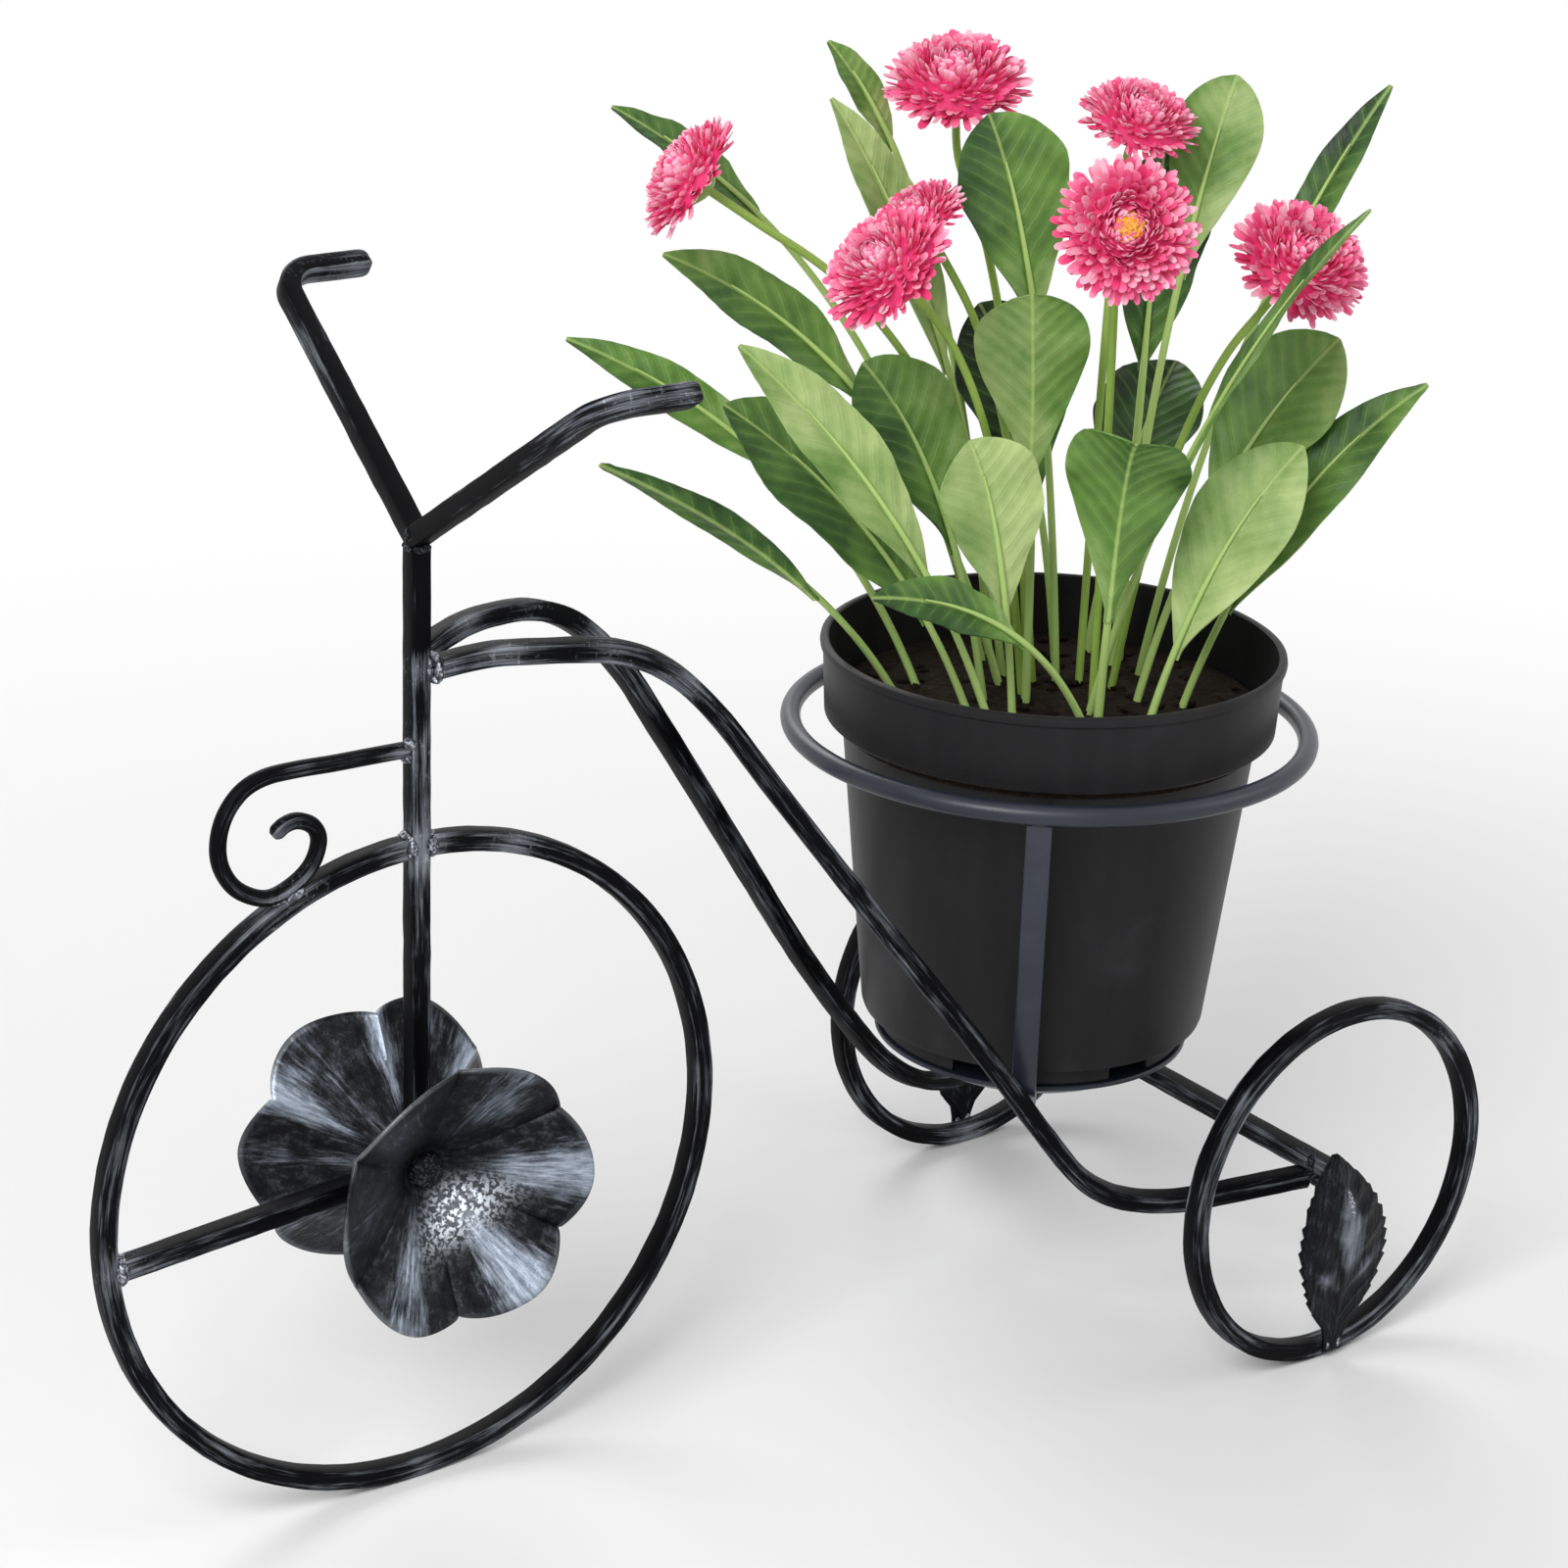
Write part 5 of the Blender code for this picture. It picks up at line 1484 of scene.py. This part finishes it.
def build_daisy(index, row, petal):
    """A pompom of quilled petals in rings on a dome, its yellow eye, its green cup and its stalk."""
    name, size, lean_side, lean_front = row[0], *row[6:]
    draw = random.Random(daisy_draw + index)
    tilt = Matrix.Rotation(lean_side * right_angle, 4, "Y")
    tilt = tilt @ Matrix.Rotation(lean_front * right_angle, 4, "X")
    at = Matrix.Translation(tip_of(row)) @ Matrix.Rotation(plant_turn, 4, "Z") @ tilt
    radius = bloom_radius * size
    rise = bloom_height * size
    opened = name in open_daisies
    dome = ((0.0, 0.14), (0.52, 0.18), (0.76, 0.28), (0.72, 0.40), (0.50, 0.58), (0.26, 0.68), (0.0, 0.72))
    bm = bmesh.new()
    (tone_layer,) = vertex_layers(bm, "tone")
    bm.from_mesh(finished_mesh("dome", turned(sized(dome, radius, rise), bloom_steps, at)))
    for vert in bm.verts:
        vert[tone_layer] = dome_tone
    # From the middle outwards the petals lie flatter and lower, and are longer, straighter and more
    for ring in range(petal_rings):
        share = (ring + 0.5) / petal_rings
        climb = math.radians(92 - 100 * share**1.35)
        start = radius * (0.15 + 0.39 * share if opened else 0.03 + 0.51 * share)
        length = radius * (0.23 + 0.24 * share)
        curl = 0.34 - 0.22 * share
        base = rise * (0.62 - 0.36 * share)
        count = round(11 + 38 * share)
        for i in range(count):
            spin = full_turn * (i + 0.5 * (ring % 2)) / count + draw.uniform(-0.09, 0.09)
            long = length * draw.uniform(0.90, 1.04)
            wide = radius * draw.uniform(0.044, 0.066)
            turn = Matrix.Rotation(spin, 4, "Z") @ Matrix.Translation((0, start, base))
            lift = Matrix.Rotation(climb + draw.uniform(-0.20, 0.20), 4, "X")
            roll = Matrix.Rotation(draw.uniform(-0.5, 0.5), 4, "Y")
            place = at @ turn @ lift @ roll
            tone = draw.random()
            old = len(bm.verts)
            bm.from_mesh(petal)
            bm.verts.ensure_lookup_table()
            for vert in bm.verts[old:]:
                x, y, z = vert.co
                vert.co = place @ Vector((x * wide, y * long, z * wide * 1.8 + curl * long * y**2))
                vert[tone_layer] = tone
    piece("petals_" + name, bm, petal_pink, name, angle=55.0)
    if opened:
        build_eye(name, at, radius, rise)
    build_stalk(name, row, at, radius, rise)


def build_eye(name, at, radius, rise):
    """The yellow eye of an open daisy: a low button of fine points."""
    bm = bmesh.new()
    bmesh.ops.create_icosphere(bm, subdivisions=4, radius=radius * 0.20)
    for vert in bm.verts:
        vert.co *= 1 + 0.30 * noise.noise(vert.co * 1300)
        vert.co.z *= 0.60
    bmesh.ops.transform(bm, matrix=at @ Matrix.Translation((0, 0, rise * 0.76)), verts=bm.verts)
    piece("eye_" + name, bm, eye_yellow, angle=60.0)


def build_stalk(name, row, at, radius, rise):
    """The flower's stalk, and the green cup that holds its petals."""
    face = at.to_3x3().col[2]
    end = at.translation - face * seat_gap
    arc = arc_route(root_of(row), end - face * radius * 0.9, stalk_upright, stalk_steps)
    frames = frames_along(smooth_route([*arc, end + face * rise * 0.3], route_steps), face.cross(upwards))
    bm = sweep(frames, round_section(flower_stalk / 2, stalk_sides))
    trim(bm, soil_top * upwards, -upwards)
    cup = ((0.0, -0.10), (0.16, -0.08), (0.34, 0.06), (0.50, 0.24), (0.44, 0.26), (0.28, 0.16), (0.0, 0.10))
    bm.from_mesh(finished_mesh("cup", turned(sized(cup, radius, rise), cup_steps, at)))
    piece(f"stem_{name}", bm, stalk_green, f"{name}_stalk", angle=50.0)


# Floor, lamps and camera


def build_stage():
    bm = bmesh.new()
    bmesh.ops.create_grid(bm, x_segments=1, y_segments=1, size=6.0)
    floor = add_object("floor", finished_mesh("floor", bm))
    finish = Finish("floor_white", (None, None), 0.9)
    finish.set("Base Color", (0.86, 0.86, 0.86))
    far = finish.value("ShaderNodeVectorMath", {0: finish.place()}, "Value", operation="LENGTH")
    share = finish.rise(far, 0.35, 1.15) * finish.plainly_seen()
    white = finish.node("ShaderNodeEmission", {"Color": (1.0, 1.0, 1.0), "Strength": 1.0})
    blend = finish.node("ShaderNodeMixShader", {0: share, 1: finish.shader.outputs[0], 2: white.outputs[0]})
    finish.feed(finish.tree.nodes["Material Output"].inputs["Surface"], blend.outputs[0])
    floor.data.materials.append(finish.material)


def build_world():
    """White where it is seen, and softer as a light."""
    world = bpy.data.worlds.new("studio")
    bpy.context.scene.world = world
    nodes = Nodes(world)
    background = nodes.tree.nodes["Background"]
    nodes.feed(background.inputs["Color"], (1.0, 1.0, 1.0))
    nodes.feed(background.inputs["Strength"], nodes.rise(nodes.plainly_seen(), 0.0, 1.0, 0.48, 1.0))


def add_lamp(name, place, target, size, watts):
    lamp = bpy.data.lights.new(name, "AREA")
    lamp.size = size
    lamp.energy = watts
    made = add_object(name, lamp)
    made.location = place
    made.rotation_euler = (Vector(target) - Vector(place)).to_track_quat("-Z", "Y").to_euler()


def build_camera():
    """The photograph's view, with its slight roll."""
    azimuth, pitch, roll = (math.radians(degrees) for degrees in (36.47, 20.6, 2.1))
    level = Vector((math.sin(azimuth), math.cos(azimuth), 0))
    look = math.cos(pitch) * level - math.sin(pitch) * upwards
    right = Vector((math.cos(azimuth), -math.sin(azimuth), 0))
    up = right.cross(look)
    rolled_right = math.cos(roll) * right + math.sin(roll) * up
    rolled_up = math.cos(roll) * up - math.sin(roll) * right
    camera = bpy.data.cameras.new("camera")
    camera.sensor_width = 36.0
    camera.lens = 85.5
    made = add_object("camera", camera)
    turn = Matrix((rolled_right, rolled_up, -look)).transposed().to_4x4()
    made.matrix_world = Matrix.Translation((-0.71952, -0.984, 0.68904)) @ turn
    bpy.context.scene.camera = made


build_camera()
build_world()
build_stage()
add_lamp("key_lamp", (-1.25, -0.75, 1.35), (0, 0, 0.2), 0.9, 24.0)
add_lamp("fill_lamp", (1.3, -1.1, 1.0), (0, 0, 0.2), 1.1, 5.0)
add_lamp("back_lamp", (0.4, 1.5, 1.5), (0, 0, 0.25), 1.0, 12.0)
bpy.context.scene.view_settings.view_transform = "Standard"

build_stem()
build_spoke()
build_front_rim()
build_axle()
build_scroll()
for label, side in near_far:
    build_handlebar(label, side)
    build_hub_flower(label, side)
    build_hub_button(label, side)
    build_rail(label, side)
    build_rear_rim(label, side)
    build_rear_leaf(label, side)
build_stem_welds()
build_rim_welds()
build_ring()
build_dish()
build_cradle()
build_pot()
build_soil()
for index, row in enumerate(plant_leaves):
    build_plant_leaf(index, row)
petal = petal_mesh()
for index, row in enumerate(daisies):
    build_daisy(index, row, petal)

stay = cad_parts["holder_stay"].data
stay.materials.clear()
stay.materials.append(holder_paint.material)
